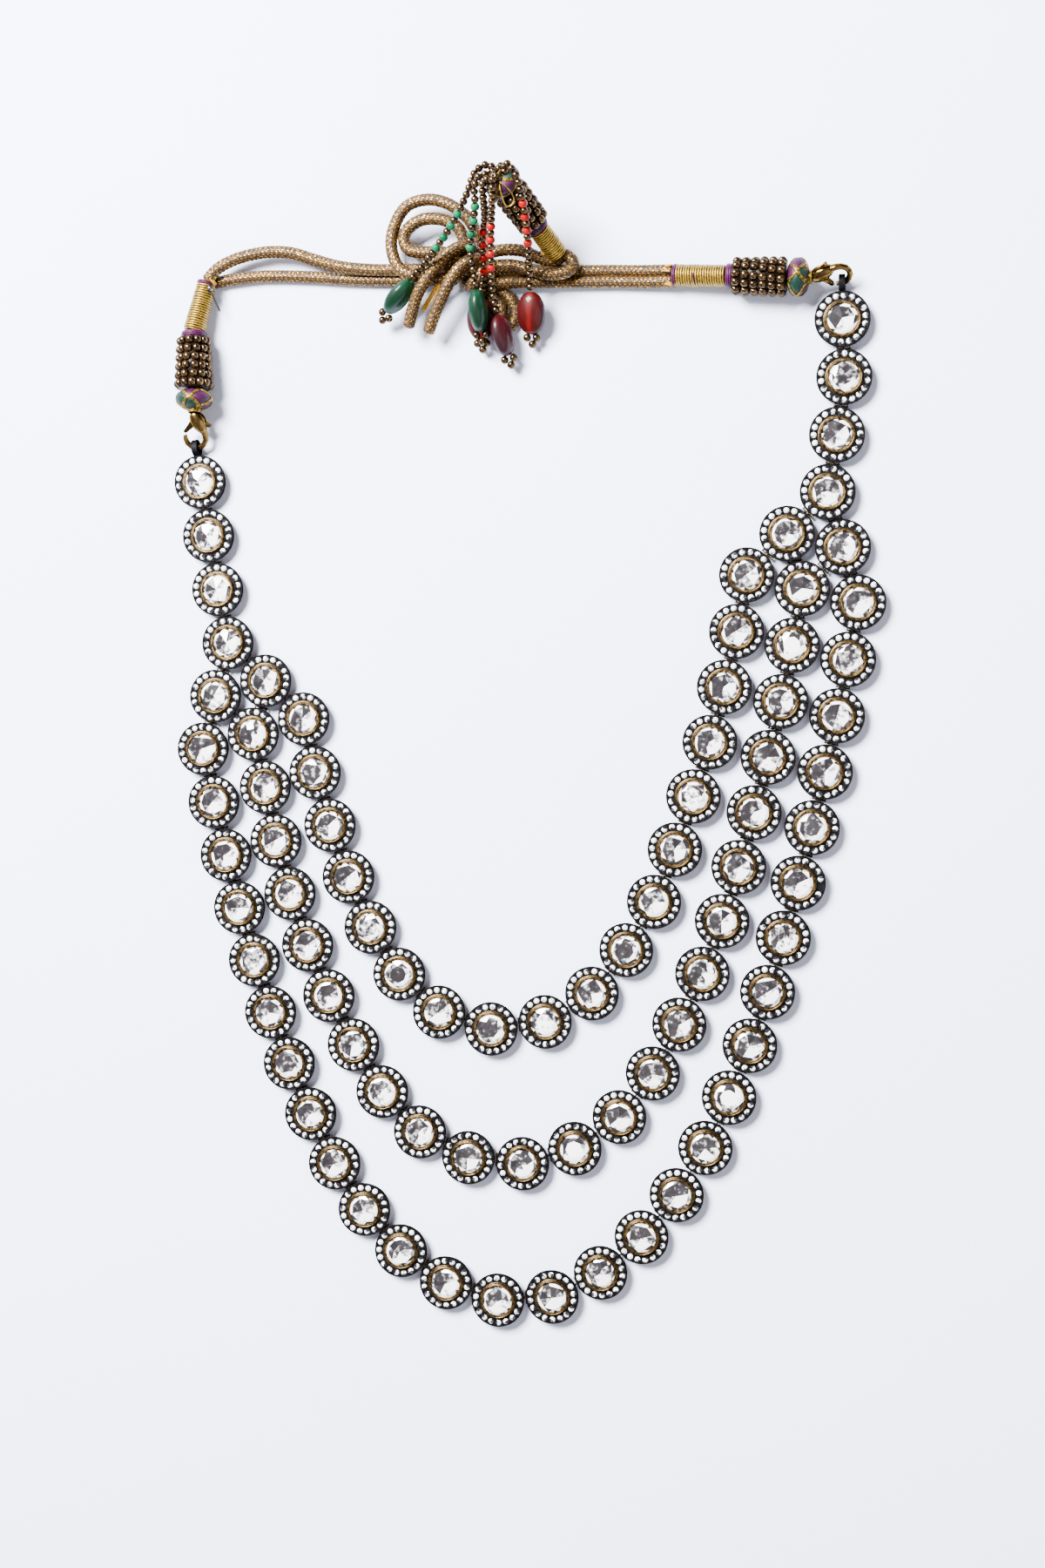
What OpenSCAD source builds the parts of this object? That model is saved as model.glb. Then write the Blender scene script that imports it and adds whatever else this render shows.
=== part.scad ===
/* [Setting] */
// Diameter of one round stone setting
setting_d = 13.5; // [12.6:0.1:15]
// Free gap between two neighbouring settings
setting_gap = 0.5; // [0.4:0.1:0.9]
// Height of the solid back ring
back_h = 0.8; // [0.7:0.1:1]
// Height of the open gallery between back ring and plate
gallery_h = 1.4; // [1.3:0.1:2]
// Depth of the gallery behind the edge of the plate
gallery_depth = 1.05; // [1:0.05:1.4]
// How far the back ring stays behind the edge of the plate
back_step = 0.65; // [0.6:0.05:0.8]
// Thickness of the plate that carries the small stones
plate_t = 0.7; // [0.5:0.1:1]
// Height of the bezel above the plate
bezel_h = 0.85; // [0.7:0.05:1.1]
// Outer diameter of the bezel
bezel_d = 8.7; // [8.5:0.1:9.2]

/* [Stone] */
// Diameter of the main stone at its girdle
stone_d = 7.7; // [7:0.1:7.8]
// Diameter of the stone's flat table
table_d = 4.4; // [3.4:0.1:5]
// Height of the stone's crown above its girdle
crown_h = 0.85; // [0.5:0.05:1.2]
// Thickness of the girdle
girdle_h = 0.25; // [0.15:0.05:0.35]
// Depth of the stone below its girdle
pavilion_h = 1.2; // [0.7:0.1:1.3]
// Free gap round a stone in its setting
stone_gap = 0.1; // [0.1:0.02:0.14]
// How far the lip of the bezel reaches over the stone
lip_w = 0.15; // [0.1:0.01:0.2]

/* [Links] */
// Diameter of the wire of the links
wire_d = 0.4; // [0.3:0.02:0.44]
// Outer diameter of the upright eye of a link
eye_d = 1.64; // [1.5:0.02:1.7]
// Width of the flat staple that passes through the eye
staple_w = 3; // [2.4:0.1:3.4]
// Outer diameter of the bail on the first and last setting
bail_d = 4.3; // [4:0.1:4.6]
// Thickness of the bail's band
bail_t = 0.7; // [0.5:0.1:0.8]
// Width of the bail's band
bail_w = 1.5; // [1.3:0.1:1.8]

/* [Strands] */
// Settings in the inner strand, with its two ends
inner_count = 18; // [17:1:19]
// Settings in the middle strand, with its two ends
middle_count = 23; // [22:1:24]
// Settings in the outer strand, with its two ends
outer_count = 28; // [27:1:29]

/* [Clasp] */
// Length of a lobster clasp
clasp_l = 10.3; // [9.5:0.1:11.5]
// Width of a lobster clasp without its thumb tab
clasp_w = 7; // [6.5:0.1:7.6]
// Thickness of the hook's wire
hook_d = 1.5; // [1.3:0.1:1.6]
// Thickness of the clasp's body at the pivot
clasp_t = 2.7; // [2.5:0.1:3.2]
// Thickness of the sprung lever
lever_t = 1; // [0.8:0.1:1.1]
// Diameter of the lever's pivot pin
pin_d = 0.9; // [0.7:0.1:1]
// Free gap on each side of the lever and round its pin
lever_gap = 0.1; // [0.08:0.01:0.12]
// Free gap between a clasp and the knob that carries it
clasp_gap = 0.25; // [0.2:0.05:0.3]

/* [Cord ends] */
// Diameter of the knitted cord
cord_d = 2.5; // [2.2:0.1:2.6]
// Length of the metal thread winding on the two side ends
winding_l = 13; // [11:0.5:14]
// Length of the winding above the tassel
tassel_winding_l = 9; // [8:0.5:11]
// Length of the thread band between winding and beads
band_l = 1.5; // [1:0.1:2]
// Diameter of the seed beads
bead_d = 2.2; // [2:0.05:2.3]
// Rings of seed beads on a side end
side_rings = 6; // [5:1:7]
// Rings of seed beads above the tassel
tassel_rings = 5; // [4:1:6]
// Diameter of the thread-covered knob
knob_d = 9.2; // [8.6:0.1:9.8]
// Length of the thread-covered knob
knob_l = 5.5; // [5:0.1:6.5]

/* [Tassel] */
// Diameter of a string of seed beads
string_d = 1.9; // [1.7:0.05:2]
// Length of an oval glass bead
oval_l = 10.3; // [9:0.1:10.8]
// Width of an oval glass bead
oval_w = 7.2; // [6.4:0.1:7.6]
// Thickness of an oval glass bead
oval_t = 4.6; // [4:0.1:4.8]
// Diameter of the hole through an oval bead
oval_hole_d = 0.9; // [0.7:0.1:1.1]
// Diameter of the beads that end each string
end_bead_d = 1.9; // [1.7:0.05:2]

/* [Hidden] */

// Facets of a round form, and of what is swept along a route
ROUND = 48;
CORD_SIDES = 8;
CLASP_SIDES = 10;

// The setting, from its back upwards
plate_r = setting_d / 2;
pitch = setting_d + setting_gap;
gallery_r = plate_r - gallery_depth;
back_r = plate_r - back_step;
plate_z = back_h + gallery_h;
plate_top = plate_z + plate_t;
bezel_top = plate_top + bezel_h;
seat_r = stone_d / 2 + stone_gap;
lip_r = stone_d / 2 - lip_w;
lip_h = 0.4;
seat_top = bezel_top - lip_h;
girdle_top = seat_top - 0.15;
girdle_bottom = girdle_top - girdle_h;
stone_bottom = girdle_bottom - pavilion_h;
seat_z = stone_bottom - stone_gap;
edge = 0.15;

// The links between two settings
link_z = plate_z / 2;
link_x = pitch / 2;
wire_r = wire_d / 2;
eye_r = eye_d / 2 - wire_r;
leg_r = wire_r * 0.95;
stub_r = wire_r * 0.85;
bail_r = bail_d / 2;
bail_sink = 0.15;
bail_slack = 0.62;
hook_r = hook_d / 2;
bail_x = plate_r + bail_r - bail_sink;
bail_reach = bail_x + bail_r - bail_t - hook_r - bail_slack;

// Unit directions in the plane and in space, from degrees
function heading(a) = [cos(a), sin(a)];
function aim(azimuth, rise) = [
    cos(rise) * cos(azimuth), cos(rise) * sin(azimuth), sin(rise)
];
function flat(p) = [p[0], p[1]];
function unit(v) = v / norm(v);
function bearing(from, to) = atan2(to[1] - from[1], to[0] - from[0]);

// Each end of the cord: where the cord enters its winding, then the azimuth and
// rise of the winding and of the beads, and the winding's and beads' diameters
END_AT = 0;
WIND_AZ = 1;
WIND_RISE = 2;
BEAD_AZ = 3;
BEAD_RISE = 4;
WIND_D = 5;
BEADS_D = 6;
RIGHT_END = [[38.2, 119.5, 2.8], -4.2, 8.5, -3.4, 1.5, [5.4, 5.2], [9.2, 9.8]];
LEFT_END = [[-82.2, 122, 2.7], -103, 8, -88.5, 4, [4.8, 5.6], [8.8, 10.4]];
TASSEL_END = [[9.5, 125.1, 6], 126.5, 43, 126.5, 43, [5.2, 5.2], [8.6, 9]];

function beads_l(rings) = bead_d * rings;
function band_at(e, wind) = e[END_AT] + wind * aim(e[WIND_AZ], e[WIND_RISE]);
function beads_at(e, wind) = band_at(e, wind) + band_l * aim(e[BEAD_AZ], e[BEAD_RISE]);
function knob_at(e, wind, rings) =
    beads_at(e, wind) + beads_l(rings) * aim(e[BEAD_AZ], e[BEAD_RISE]);
function knob_end(e, wind, rings) =
    knob_at(e, wind, rings) + knob_l * aim(e[BEAD_AZ], e[BEAD_RISE]);

// The clasps: azimuth and rise from hook to knob, and roll about that line
RIGHT_CLASP = [183.5, 6.5, 125];
LEFT_CLASP = [85, 21, 180];
clasp_top = clasp_l - hook_r;
function hook_at(e, clasp) =
    knob_end(e, winding_l, side_rings) - (clasp_top + clasp_gap) * aim(clasp[0], clasp[1]);
right_hook = hook_at(RIGHT_END, RIGHT_CLASP);
left_hook = hook_at(LEFT_END, LEFT_CLASP);

// A clasp's body from the hook's tip to the eye: shares of the clasp's length
// and half width, then shares of the hook's radius or half the body's thickness
CLASP_ALONG = 0;
CLASP_ACROSS = 1;
CLASP_HALF_W = 2;
CLASP_HALF_T = 3;
CLASP_ROWS = [
    [0.345, -1.00, 0.67, 0.73],
    [0.230, -0.98, 0.91, 0.93],
    [0.115, -0.80, 1.00, 1.00],
    [0.032, -0.44, 1.00, 1.00],
    [0.000, 0.00, 1.00, 1.00],
    [0.032, 0.44, 1.00, 1.00],
    [0.115, 0.80, 1.00, 1.07],
    [0.241, 1.00, 1.00, 1.13],
    [0.377, 0.96, 1.07, 1.27],
    [0.513, 0.78, 1.20, 1.47],
    [0.628, 0.55, 1.53, 1.67],
    [0.743, 0.29, 1.93, 1.80],
    [0.848, 0.11, 1.87, 1.73],
    [0.942, 0.02, 1.40, 1.33],
    [1.000, 0.00, 0.67, 0.67]
];
clasp_half = clasp_w / 2 - hook_r;
pivot = [0.775 * clasp_top, 0.15 * clasp_half];
lever_tip = [0.445 * clasp_top, -0.93 * clasp_half];
thumb_tab = [0.63 * clasp_top, 1.42 * clasp_half];
pivot_r = pin_d / 2 + 0.6;
tip_r = hook_r * 0.62;
slot_t = lever_t + 2 * lever_gap;
slot_from = 0.53 * clasp_top;
slot_to = 0.91 * clasp_top;

// Where the right bail holds the hook's wire: beside its tip
right_grip = [0.2 * clasp_top, -0.93 * clasp_half];
function turn_roll(p, roll) = [p[0], p[1] * cos(roll), p[1] * sin(roll)];
function turn_rise(p, rise) = [
    p[0] * cos(rise) - p[2] * sin(rise), p[1], p[0] * sin(rise) + p[2] * cos(rise)
];
function turn_azimuth(p, a) = [
    p[0] * cos(a) - p[1] * sin(a), p[0] * sin(a) + p[1] * cos(a), p[2]
];
function on_clasp(hook, clasp, p) =
    hook + turn_azimuth(turn_rise(turn_roll(p, clasp[2]), clasp[1]), clasp[0]);

// The settings hang from the two clasps by their bails
RIGHT_BAIL = 91;
LEFT_BAIL = 97;
right_top = flat(on_clasp(right_hook, RIGHT_CLASP, right_grip)) - bail_reach * heading(RIGHT_BAIL);
left_top = flat(left_hook) - bail_reach * heading(LEFT_BAIL);

// Walks from one setting to the next, one pitch along each heading
function step(headings, i) = i < len(headings) ? pitch * heading(headings[i]) : [0, 0];
function walk(start, headings) = [
    for (i = 0, p = start; i <= len(headings); p = p + step(headings, i), i = i + 1) p
];
RIGHT_NECK = [-88, -97, -99];
LEFT_NECK = [-81, -80, -79];
right_neck = walk(right_top, RIGHT_NECK);
left_neck = walk(left_top, LEFT_NECK);

// The shoulders, where one row of settings opens into two and then three
RIGHT_SHOULDER = -104.5;
LEFT_SHOULDER = -74;
function shoulder(apex, down) = let (
    right = pitch * heading(down + 30),
    left = pitch * heading(down - 30)
) [apex, apex + left, apex + right, apex + 2 * left, apex + left + right, apex + 2 * right];
right_shoulder = shoulder(right_neck[3], RIGHT_SHOULDER);
left_shoulder = shoulder(left_neck[3], LEFT_SHOULDER);

// Heading along each strand: share of its length, heading in degrees
INNER_ROUTE = [
    [0, -100], [0.32, -112], [0.44, -128], [0.5, -148], [0.56, -171], [0.62, -196],
    [0.68, -222], [0.76, -241], [1, -257]
];
MIDDLE_ROUTE = [
    [0, -100], [0.26, -108], [0.39, -119], [0.44, -129], [0.52, -161], [0.61, -204],
    [0.66, -225], [0.71, -238], [0.8, -246], [0.93, -257.5], [1, -255]
];
OUTER_ROUTE = [
    [0, -100], [0.26, -107], [0.37, -117], [0.46, -137], [0.5, -152], [0.57, -194],
    [0.61, -213], [0.66, -231], [0.72, -243], [0.83, -252], [1, -259]
];

function along(table, share, i = 1) =
    share <= table[i][0] || i == len(table) - 1
        ? table[i - 1][1] + (table[i][1] - table[i - 1][1])
            * (share - table[i - 1][0]) / (table[i][0] - table[i - 1][0])
        : along(table, share, i + 1);
function total(list) = list * [for (x = list) 1];

// Turns and opens a strand's headings until its last setting meets its place
function fitted(raw, span, turn = 0, open = 1, tries = 8) = let (
    mean = total(raw) / len(raw),
    now = [for (h = raw) mean + turn + open * (h - mean)],
    off = [for (h = raw) h - mean],
    x = total([for (h = now) cos(h)]),
    y = total([for (h = now) sin(h)]),
    open_x = -total([for (i = [0:len(now) - 1]) off[i] * sin(now[i])]),
    open_y = total([for (i = [0:len(now) - 1]) off[i] * cos(now[i])]),
    miss = (span / pitch - [x, y]) * 180 / PI,
    det = -y * open_y - x * open_x
) tries == 0 ? now : fitted(
    raw, span,
    turn + (miss[0] * open_y - miss[1] * open_x) / det,
    open + (-y * miss[1] - x * miss[0]) / det,
    tries - 1
);
function strand(table, count, from, to) = let (
    raw = [for (i = [0:count - 2]) along(table, (i + 0.5) / (count - 1))]
) walk(from, fitted(raw, to - from));

inner_strand = strand(INNER_ROUTE, inner_count, right_shoulder[3], left_shoulder[5]);
middle_strand = strand(MIDDLE_ROUTE, middle_count, right_shoulder[4], left_shoulder[4]);
outer_strand = strand(OUTER_ROUTE, outer_count, right_shoulder[5], left_shoulder[3]);

// Routes of the cords, chosen points from end to end
RIGHT_UPPER = [
    [-7.5, 121.9, 3.3], [-1, 121.9, 3.3], [6, 121.8, 2.7], [14, 121.6, 2.1], [22, 121.4, 1.8],
    [30, 121, 2], [38, 120.7, 2.8]
];
RIGHT_LOWER = [
    [-7.5, 119.2, 3.9], [-1, 119.2, 3.4], [6, 119.2, 2.6], [14, 119, 2], [22, 118.8, 1.8],
    [30, 118.4, 2], [38, 118.1, 2.8]
];
LEFT_UPPER = [
    [-82, 122.1, 4.1], [-78.7, 125.4, 4.1], [-73.4, 127.8, 3.9], [-66.4, 129.1, 3.6],
    [-59.6, 128.7, 3.6], [-53.3, 126.7, 3.6], [-47, 124.8, 3.6], [-40, 123.8, 3.5],
    [-33, 123.4, 3.4], [-26, 123.3, 3.5], [-19, 123.6, 3.9]
];
LEFT_LOWER = [
    [-82.2, 122.2, 1.5], [-75.5, 123, 1.4], [-68.5, 123.5, 1.3], [-61, 123.3, 1.3],
    [-53, 122.7, 1.3], [-45, 121.9, 1.3], [-36, 121.4, 1.3], [-27, 121.1, 1.3], [-19, 121.2, 1.7]
];
LOOP_OUTER = [
    [-11.3, 128, 4], [-12.2, 133.6, 5.5], [-16.6, 137.8, 6.2], [-22.7, 140, 5.8],
    [-28.8, 138.8, 5.2], [-32.2, 134, 4.9], [-32.9, 128.6, 5.2], [-30.8, 123.4, 6.1],
    [-26.4, 120.9, 6.3], [-21.4, 120.3, 6.1], [-17, 120.8, 5.4]
];
LOOP_INNER = [
    [-13.8, 128, 4.8], [-15.8, 132.8, 5.6], [-20.4, 135, 5.9], [-25.6, 134.9, 5.6],
    [-29.6, 132, 5], [-28.8, 128.2, 4.9], [-25, 127.2, 5], [-20.5, 127, 5.2], [-16, 126, 5]
];
END_LEFT = [
    [-11.4, 126.4, 6], [-12.6, 127.5, 8.3], [-16.2, 126.5, 9.3], [-20.8, 122.6, 9.2],
    [-23.4, 119.4, 8.7], [-25.8, 115.9, 7.6], [-27.4, 112, 6.4], [-28.6, 108.3, 5.3]
];
END_RIGHT = [
    [-9.9, 124, 5.8], [-10.9, 124.3, 8.2], [-14, 122.8, 9.1], [-17.2, 119, 8.7],
    [-20, 114.2, 7.4], [-22, 110.4, 6.2], [-23.6, 106.7, 5.2]
];
TASSEL_HUMP = [
    [-8.8, 126.4, 4.8], [-4, 126.7, 6.2], [0.6, 126.4, 5.6], [4.4, 125, 3.8], [8.5, 124.1, 3.6]
];
TASSEL_TURN = [
    [11, 125.2, 5], [13.3, 123, 5], [11.6, 120.8, 5.8], [7.4, 120.4, 6], [2.4, 121.7, 6.1],
    [-2.6, 122.9, 6], [-7.3, 122.8, 5.8]
];
LOW_LOOP = [
    [-8.4, 118.8, 1.3], [-4.9, 117.1, 1.3], [-2.5, 114.4, 1.3], [-1.9, 111.2, 1.3],
    [-3.5, 108.7, 1.3], [-5.2, 110.8, 1.3], [-5.8, 114, 1.3], [-8.3, 116.1, 1.3], [-11.2, 118.6, 1.5]
];

// The lumps of the tied knot: middle and radius
KNOT = [
    [-16.6, 122.6, 3.6, 3.3], [-10.4, 121.4, 3.7, 3.4], [-12.4, 125.2, 4, 3.2], [-13.6, 122.8, 4.9, 2.6]
];

// Routes of the strings of seed beads, chosen points from knob to oval bead
GREEN_LEFT = [
    [-3.3, 142.3, 22.9], [-4.6, 143.6, 23], [-7.8, 142, 22.5], [-10, 137.6, 21.2],
    [-12.9, 133, 19], [-16.2, 129.2, 16.6], [-19.7, 125.8, 14], [-23.3, 122.7, 11.2], [-27, 119.8, 8.7]
];
GREEN_MIDDLE = [
    [-4.4, 140.7, 23.6], [-6.2, 140.9, 24.2], [-7.8, 138.2, 23.6], [-8, 134.4, 21.8],
    [-9.1, 130.6, 19.2], [-10.4, 127.1, 16.2], [-10.7, 123.5, 13.8], [-10.3, 119.8, 12], [-10.2, 116.7, 10.8]
];
RED_HIDDEN = [
    [-3.8, 139.4, 25.1], [-5.2, 138.9, 26.1], [-5.6, 136.2, 24.2], [-5.9, 133.8, 21],
    [-6.5, 131.4, 17.6], [-7.6, 128.4, 14.6], [-8.1, 125, 11.8], [-8.3, 121.4, 9.2],
    [-9.4, 117.8, 6.2], [-10.5, 116.1, 3.3]
];
RED_MIDDLE = [
    [-2.1, 139.4, 26.2], [-2.4, 139.3, 28], [-2.6, 136.4, 27.6], [-3.3, 133.6, 24.6],
    [-4.2, 130.6, 21.2], [-5, 127, 18], [-5.5, 123, 15.2], [-5.9, 118.8, 12.4],
    [-6, 114.6, 9.6], [-5.7, 111, 7.2]
];
RED_RIGHT = [
    [-0.2, 141.7, 25.4], [0.8, 142.4, 27.4], [3.2, 139.4, 28], [4, 135.2, 25.2], [4.2, 130.8, 21.2],
    [4, 126.6, 17], [3.4, 122.6, 12.6], [3, 119.2, 8.6], [2.8, 116.4, 6.7]
];

// Oval beads: top of the bead, its azimuth and rise, and the roll of its flat side
OVALS = [
    [[-27.3, 119.5, 8.4], -134, -20, -80],
    [[-10.2, 116.3, 10.6], -87, -20, 90],
    [[-10.7, 115.7, 2.6], -88, -1, 0],
    [[-5.6, 110.6, 6.9], -77, -18, -68],
    [[2.8, 116, 6.4], -92, -18, 8]
];

// A closed revolved setting: back ring, gallery, plate and bezel round a seat
module setting_body() {
    profile = [
        [0, 0], [back_r - edge, 0], [back_r, edge], [back_r, back_h], [gallery_r, back_h],
        [gallery_r, plate_z], [plate_r - edge, plate_z], [plate_r, plate_z + edge],
        [plate_r, plate_top - edge], [plate_r - edge, plate_top],
        [bezel_d / 2 + edge, plate_top], [bezel_d / 2, plate_top + edge],
        [bezel_d / 2 - edge / 2, bezel_top - edge], [bezel_d / 2 - 2 * edge, bezel_top],
        [lip_r + edge, bezel_top], [lip_r, bezel_top - edge], [lip_r, seat_top],
        [seat_r, seat_top], [seat_r, seat_z], [0, seat_z]
    ];
    rotate_extrude($fn = ROUND) polygon(profile);
}

// Flat staple of wire that reaches out to the next setting
module staple() {
    for (side = [-1, 1])
        translate([gallery_r - 0.5, side * staple_w / 2, link_z])
            rotate([0, 90, 0]) cylinder(h = link_x - gallery_r + 0.5, r = leg_r, $fn = 16);
    translate([link_x, staple_w / 2 + leg_r + 0.08, link_z])
        rotate([90, 0, 0]) cylinder(h = staple_w + 2 * leg_r + 0.16, r = wire_r, $fn = 16);
}

// Upright eye that the neighbour's staple passes through
module eye() {
    translate([pitch - link_x, 0, link_z])
        rotate([90, 0, 0]) rotate_extrude($fn = ROUND) translate([eye_r, 0]) circle(wire_r, $fn = 16);
    translate([gallery_r - 0.3, 0, link_z])
        rotate([0, 90, 0]) cylinder(h = pitch - link_x - eye_r - gallery_r + 0.3, r = stub_r, $fn = 16);
}

// Upright band, soldered to the rim, that a clasp hooks into
module bail() {
    translate([bail_x, 0, bail_r])
        rotate([90, 0, 0]) rotate_extrude($fn = ROUND)
            translate([bail_r - bail_t / 2, 0]) square([bail_t, bail_w], center = true);
}

// One setting with staples towards some neighbours and eyes towards others
module setting(at, staples, eyes) {
    translate(at) {
        setting_body();
        for (p = staples) rotate(bearing(at, p)) staple();
        for (p = eyes) rotate(bearing(at, p)) eye();
    }
}

// Settings from, to of a row, each stapled to the next and hung on the last
module row(points, from, to) {
    last = len(points) - 1;
    for (i = [from:to])
        setting(points[i], i < last ? [points[i + 1]] : [], i > 0 ? [points[i - 1]] : []);
}

module settings_neck_right() {
    color("dimgray") {
        row(right_neck, 0, 2);
        translate(right_top) rotate(RIGHT_BAIL) bail();
    }
}

module settings_neck_left() {
    color("dimgray") {
        for (i = [0:2])
            setting(left_neck[i], i > 0 ? [left_neck[i - 1]] : [], [left_neck[i + 1]]);
        translate(left_top) rotate(LEFT_BAIL) bail();
    }
}

module settings_shoulder_right() {
    s = right_shoulder;
    color("dimgray") {
        setting(s[0], [s[1], s[2]], [right_neck[2]]);
        setting(s[1], [s[3], s[4]], [s[0]]);
        setting(s[2], [s[4], s[5]], [s[0]]);
        setting(s[3], [inner_strand[1]], [s[1]]);
        setting(s[4], [middle_strand[1]], [s[1], s[2]]);
        setting(s[5], [outer_strand[1]], [s[2]]);
    }
}

module settings_shoulder_left() {
    s = left_shoulder;
    color("dimgray") {
        setting(s[0], [left_neck[2]], [s[1], s[2]]);
        setting(s[1], [s[0]], [s[3], s[4]]);
        setting(s[2], [s[0]], [s[4], s[5]]);
        setting(s[3], [s[1]], [outer_strand[outer_count - 2]]);
        setting(s[4], [s[1], s[2]], [middle_strand[middle_count - 2]]);
        setting(s[5], [s[2]], [inner_strand[inner_count - 2]]);
    }
}

module settings_strand_inner() {
    color("dimgray") row(inner_strand, 1, inner_count - 2);
}

module settings_strand_middle() {
    color("dimgray") row(middle_strand, 1, middle_count - 2);
}

module settings_strand_outer() {
    color("dimgray") row(outer_strand, 1, outer_count - 2);
}

// A cut stone: six-sided table, twelve-sided girdle, six-sided flat back
module stone() {
    function ring(r, z, n) = [for (i = [0:n - 1]) [r * cos(i * 360 / n), r * sin(i * 360 / n), z]];
    points = concat(
        ring(table_d / 2, girdle_top + crown_h, 6),
        ring(stone_d / 2, girdle_top, 12),
        ring(stone_d / 2, girdle_bottom, 12),
        ring(table_d / 2, stone_bottom, 6)
    );
    faces = concat(
        [[5, 4, 3, 2, 1, 0]],
        [for (i = [0:5]) each [
            [i, 6 + 2 * i + 1, 6 + 2 * i],
            [i, (i + 1) % 6, 6 + 2 * i + 1],
            [(i + 1) % 6, 6 + (2 * i + 2) % 12, 6 + 2 * i + 1]
        ]],
        [for (i = [0:11]) [6 + i, 6 + (i + 1) % 12, 18 + (i + 1) % 12, 18 + i]],
        [for (i = [0:5]) each [
            [30 + i, 18 + 2 * i, 18 + 2 * i + 1],
            [30 + i, 18 + 2 * i + 1, 30 + (i + 1) % 6],
            [30 + (i + 1) % 6, 18 + 2 * i + 1, 18 + (2 * i + 2) % 12]
        ]],
        [[30, 31, 32, 33, 34, 35]]
    );
    polyhedron(points, faces);
}

// A row of stones, each turned a little further than the last
module stones(points, from, to) {
    color("lavender")
        for (i = [from:to])
            translate(points[i]) rotate(37 * i) stone();
}

// Body of a lobster clasp: the hook and the slotted dome, swept in one
function clasp_point(i) = [
    CLASP_ROWS[i][CLASP_ALONG] * clasp_top, CLASP_ROWS[i][CLASP_ACROSS] * clasp_half
];
function clasp_ring(i) = let (
    last = len(CLASP_ROWS) - 1,
    t = unit(clasp_point(min(i + 1, last)) - clasp_point(max(i - 1, 0))),
    p = clasp_point(i),
    grow = clasp_t / (3.6 * hook_r),
    half_w = CLASP_ROWS[i][CLASP_HALF_W] * hook_r,
    half_t = CLASP_ROWS[i][CLASP_HALF_T] * hook_r * (i > 7 ? grow : 1)
) [
    for (k = [0:CLASP_SIDES - 1]) let (a = k * 360 / CLASP_SIDES)
        [p[0] - t[1] * half_w * cos(a), p[1] + t[0] * half_w * cos(a), half_t * sin(a)]
];

// Joins rings of equally many points into one closed skin
module skin(rings) {
    n = len(rings[0]);
    m = len(rings);
    faces = concat(
        [[for (k = [0:n - 1]) k]],
        [for (i = [0:m - 2]) for (k = [0:n - 1]) let (a = i * n + k, b = i * n + (k + 1) % n) each [
            [a, a + n, b], [b, a + n, b + n]
        ]],
        [[for (k = [n - 1:-1:0]) (m - 1) * n + k]]
    );
    polyhedron([for (ring = rings) each ring], faces);
}

module place_clasp(hook, clasp) {
    translate(hook) rotate([0, -clasp[1], clasp[0]]) rotate([clasp[2], 0, 0]) children();
}

module clasp_body() {
    difference() {
        skin([for (i = [0:len(CLASP_ROWS) - 1]) clasp_ring(i)]);
        translate([slot_from, -clasp_w, -slot_t / 2]) cube([slot_to - slot_from, 2 * clasp_w, slot_t]);
    }
    translate([pivot[0], pivot[1], -clasp_t / 2 - 0.1]) cylinder(h = clasp_t + 0.2, d = pin_d, $fn = 24);
}

module clasp_lever() {
    difference() {
        union() {
            hull() {
                translate(pivot) cylinder(h = lever_t, r = pivot_r, center = true, $fn = 24);
                translate(lever_tip) cylinder(h = lever_t, r = tip_r, center = true, $fn = 24);
            }
            hull() {
                translate(pivot) cylinder(h = lever_t, r = pivot_r * 0.8, center = true, $fn = 24);
                translate(thumb_tab) cylinder(h = lever_t, r = tip_r * 0.9, center = true, $fn = 24);
            }
        }
        translate(pivot) cylinder(h = 2 * lever_t, d = pin_d + 2 * lever_gap, center = true, $fn = 24);
    }
}

module clasp_right() {
    color("goldenrod") place_clasp(right_hook, RIGHT_CLASP) clasp_body();
}

module clasp_left() {
    color("goldenrod") place_clasp(left_hook, LEFT_CLASP) clasp_body();
}

module lever_right() {
    color("peru") place_clasp(right_hook, RIGHT_CLASP) clasp_lever();
}

module lever_left() {
    color("peru") place_clasp(left_hook, LEFT_CLASP) clasp_lever();
}

// Stands a revolved piece on a point, along an azimuth and a rise
module stand(at, azimuth, rise) {
    translate(at) rotate([0, 90 - rise, azimuth]) children();
}

// A winding, cut short where the thread band leans over its rim
module winding(e, length) {
    bend = acos(min(1, aim(e[WIND_AZ], e[WIND_RISE]) * aim(e[BEAD_AZ], e[BEAD_RISE])));
    color("khaki") stand(e[END_AT], e[WIND_AZ], e[WIND_RISE])
        cylinder(
            h = length - e[WIND_D][1] / 2 * sin(bend),
            d1 = e[WIND_D][0], d2 = e[WIND_D][1], $fn = ROUND
        );
}

module band(e, wind) {
    color("purple") stand(band_at(e, wind), e[BEAD_AZ], e[BEAD_RISE])
        translate([0, 0, 0.15]) cylinder(h = band_l - 0.3, d = e[WIND_D][1] + 0.7, $fn = ROUND);
}

// Rings of seed beads round the cord's end, as one scalloped barrel
module barrel(e, wind, rings) {
    profile = concat(
        [[0, 0]],
        [for (i = [0:rings - 1]) for (a = [-60:30:60]) let (
            share = (i + 0.5) / rings,
            r = (e[BEADS_D][0] * (1 - share) + e[BEADS_D][1] * share) / 2 - bead_d / 2
        ) [r + bead_d / 2 * cos(a), bead_d * (i + 0.5) + bead_d / 2 * sin(a)]],
        [[0, beads_l(rings)]]
    );
    color("saddlebrown") stand(beads_at(e, wind), e[BEAD_AZ], e[BEAD_RISE])
        rotate_extrude($fn = ROUND) polygon(profile);
}

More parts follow.
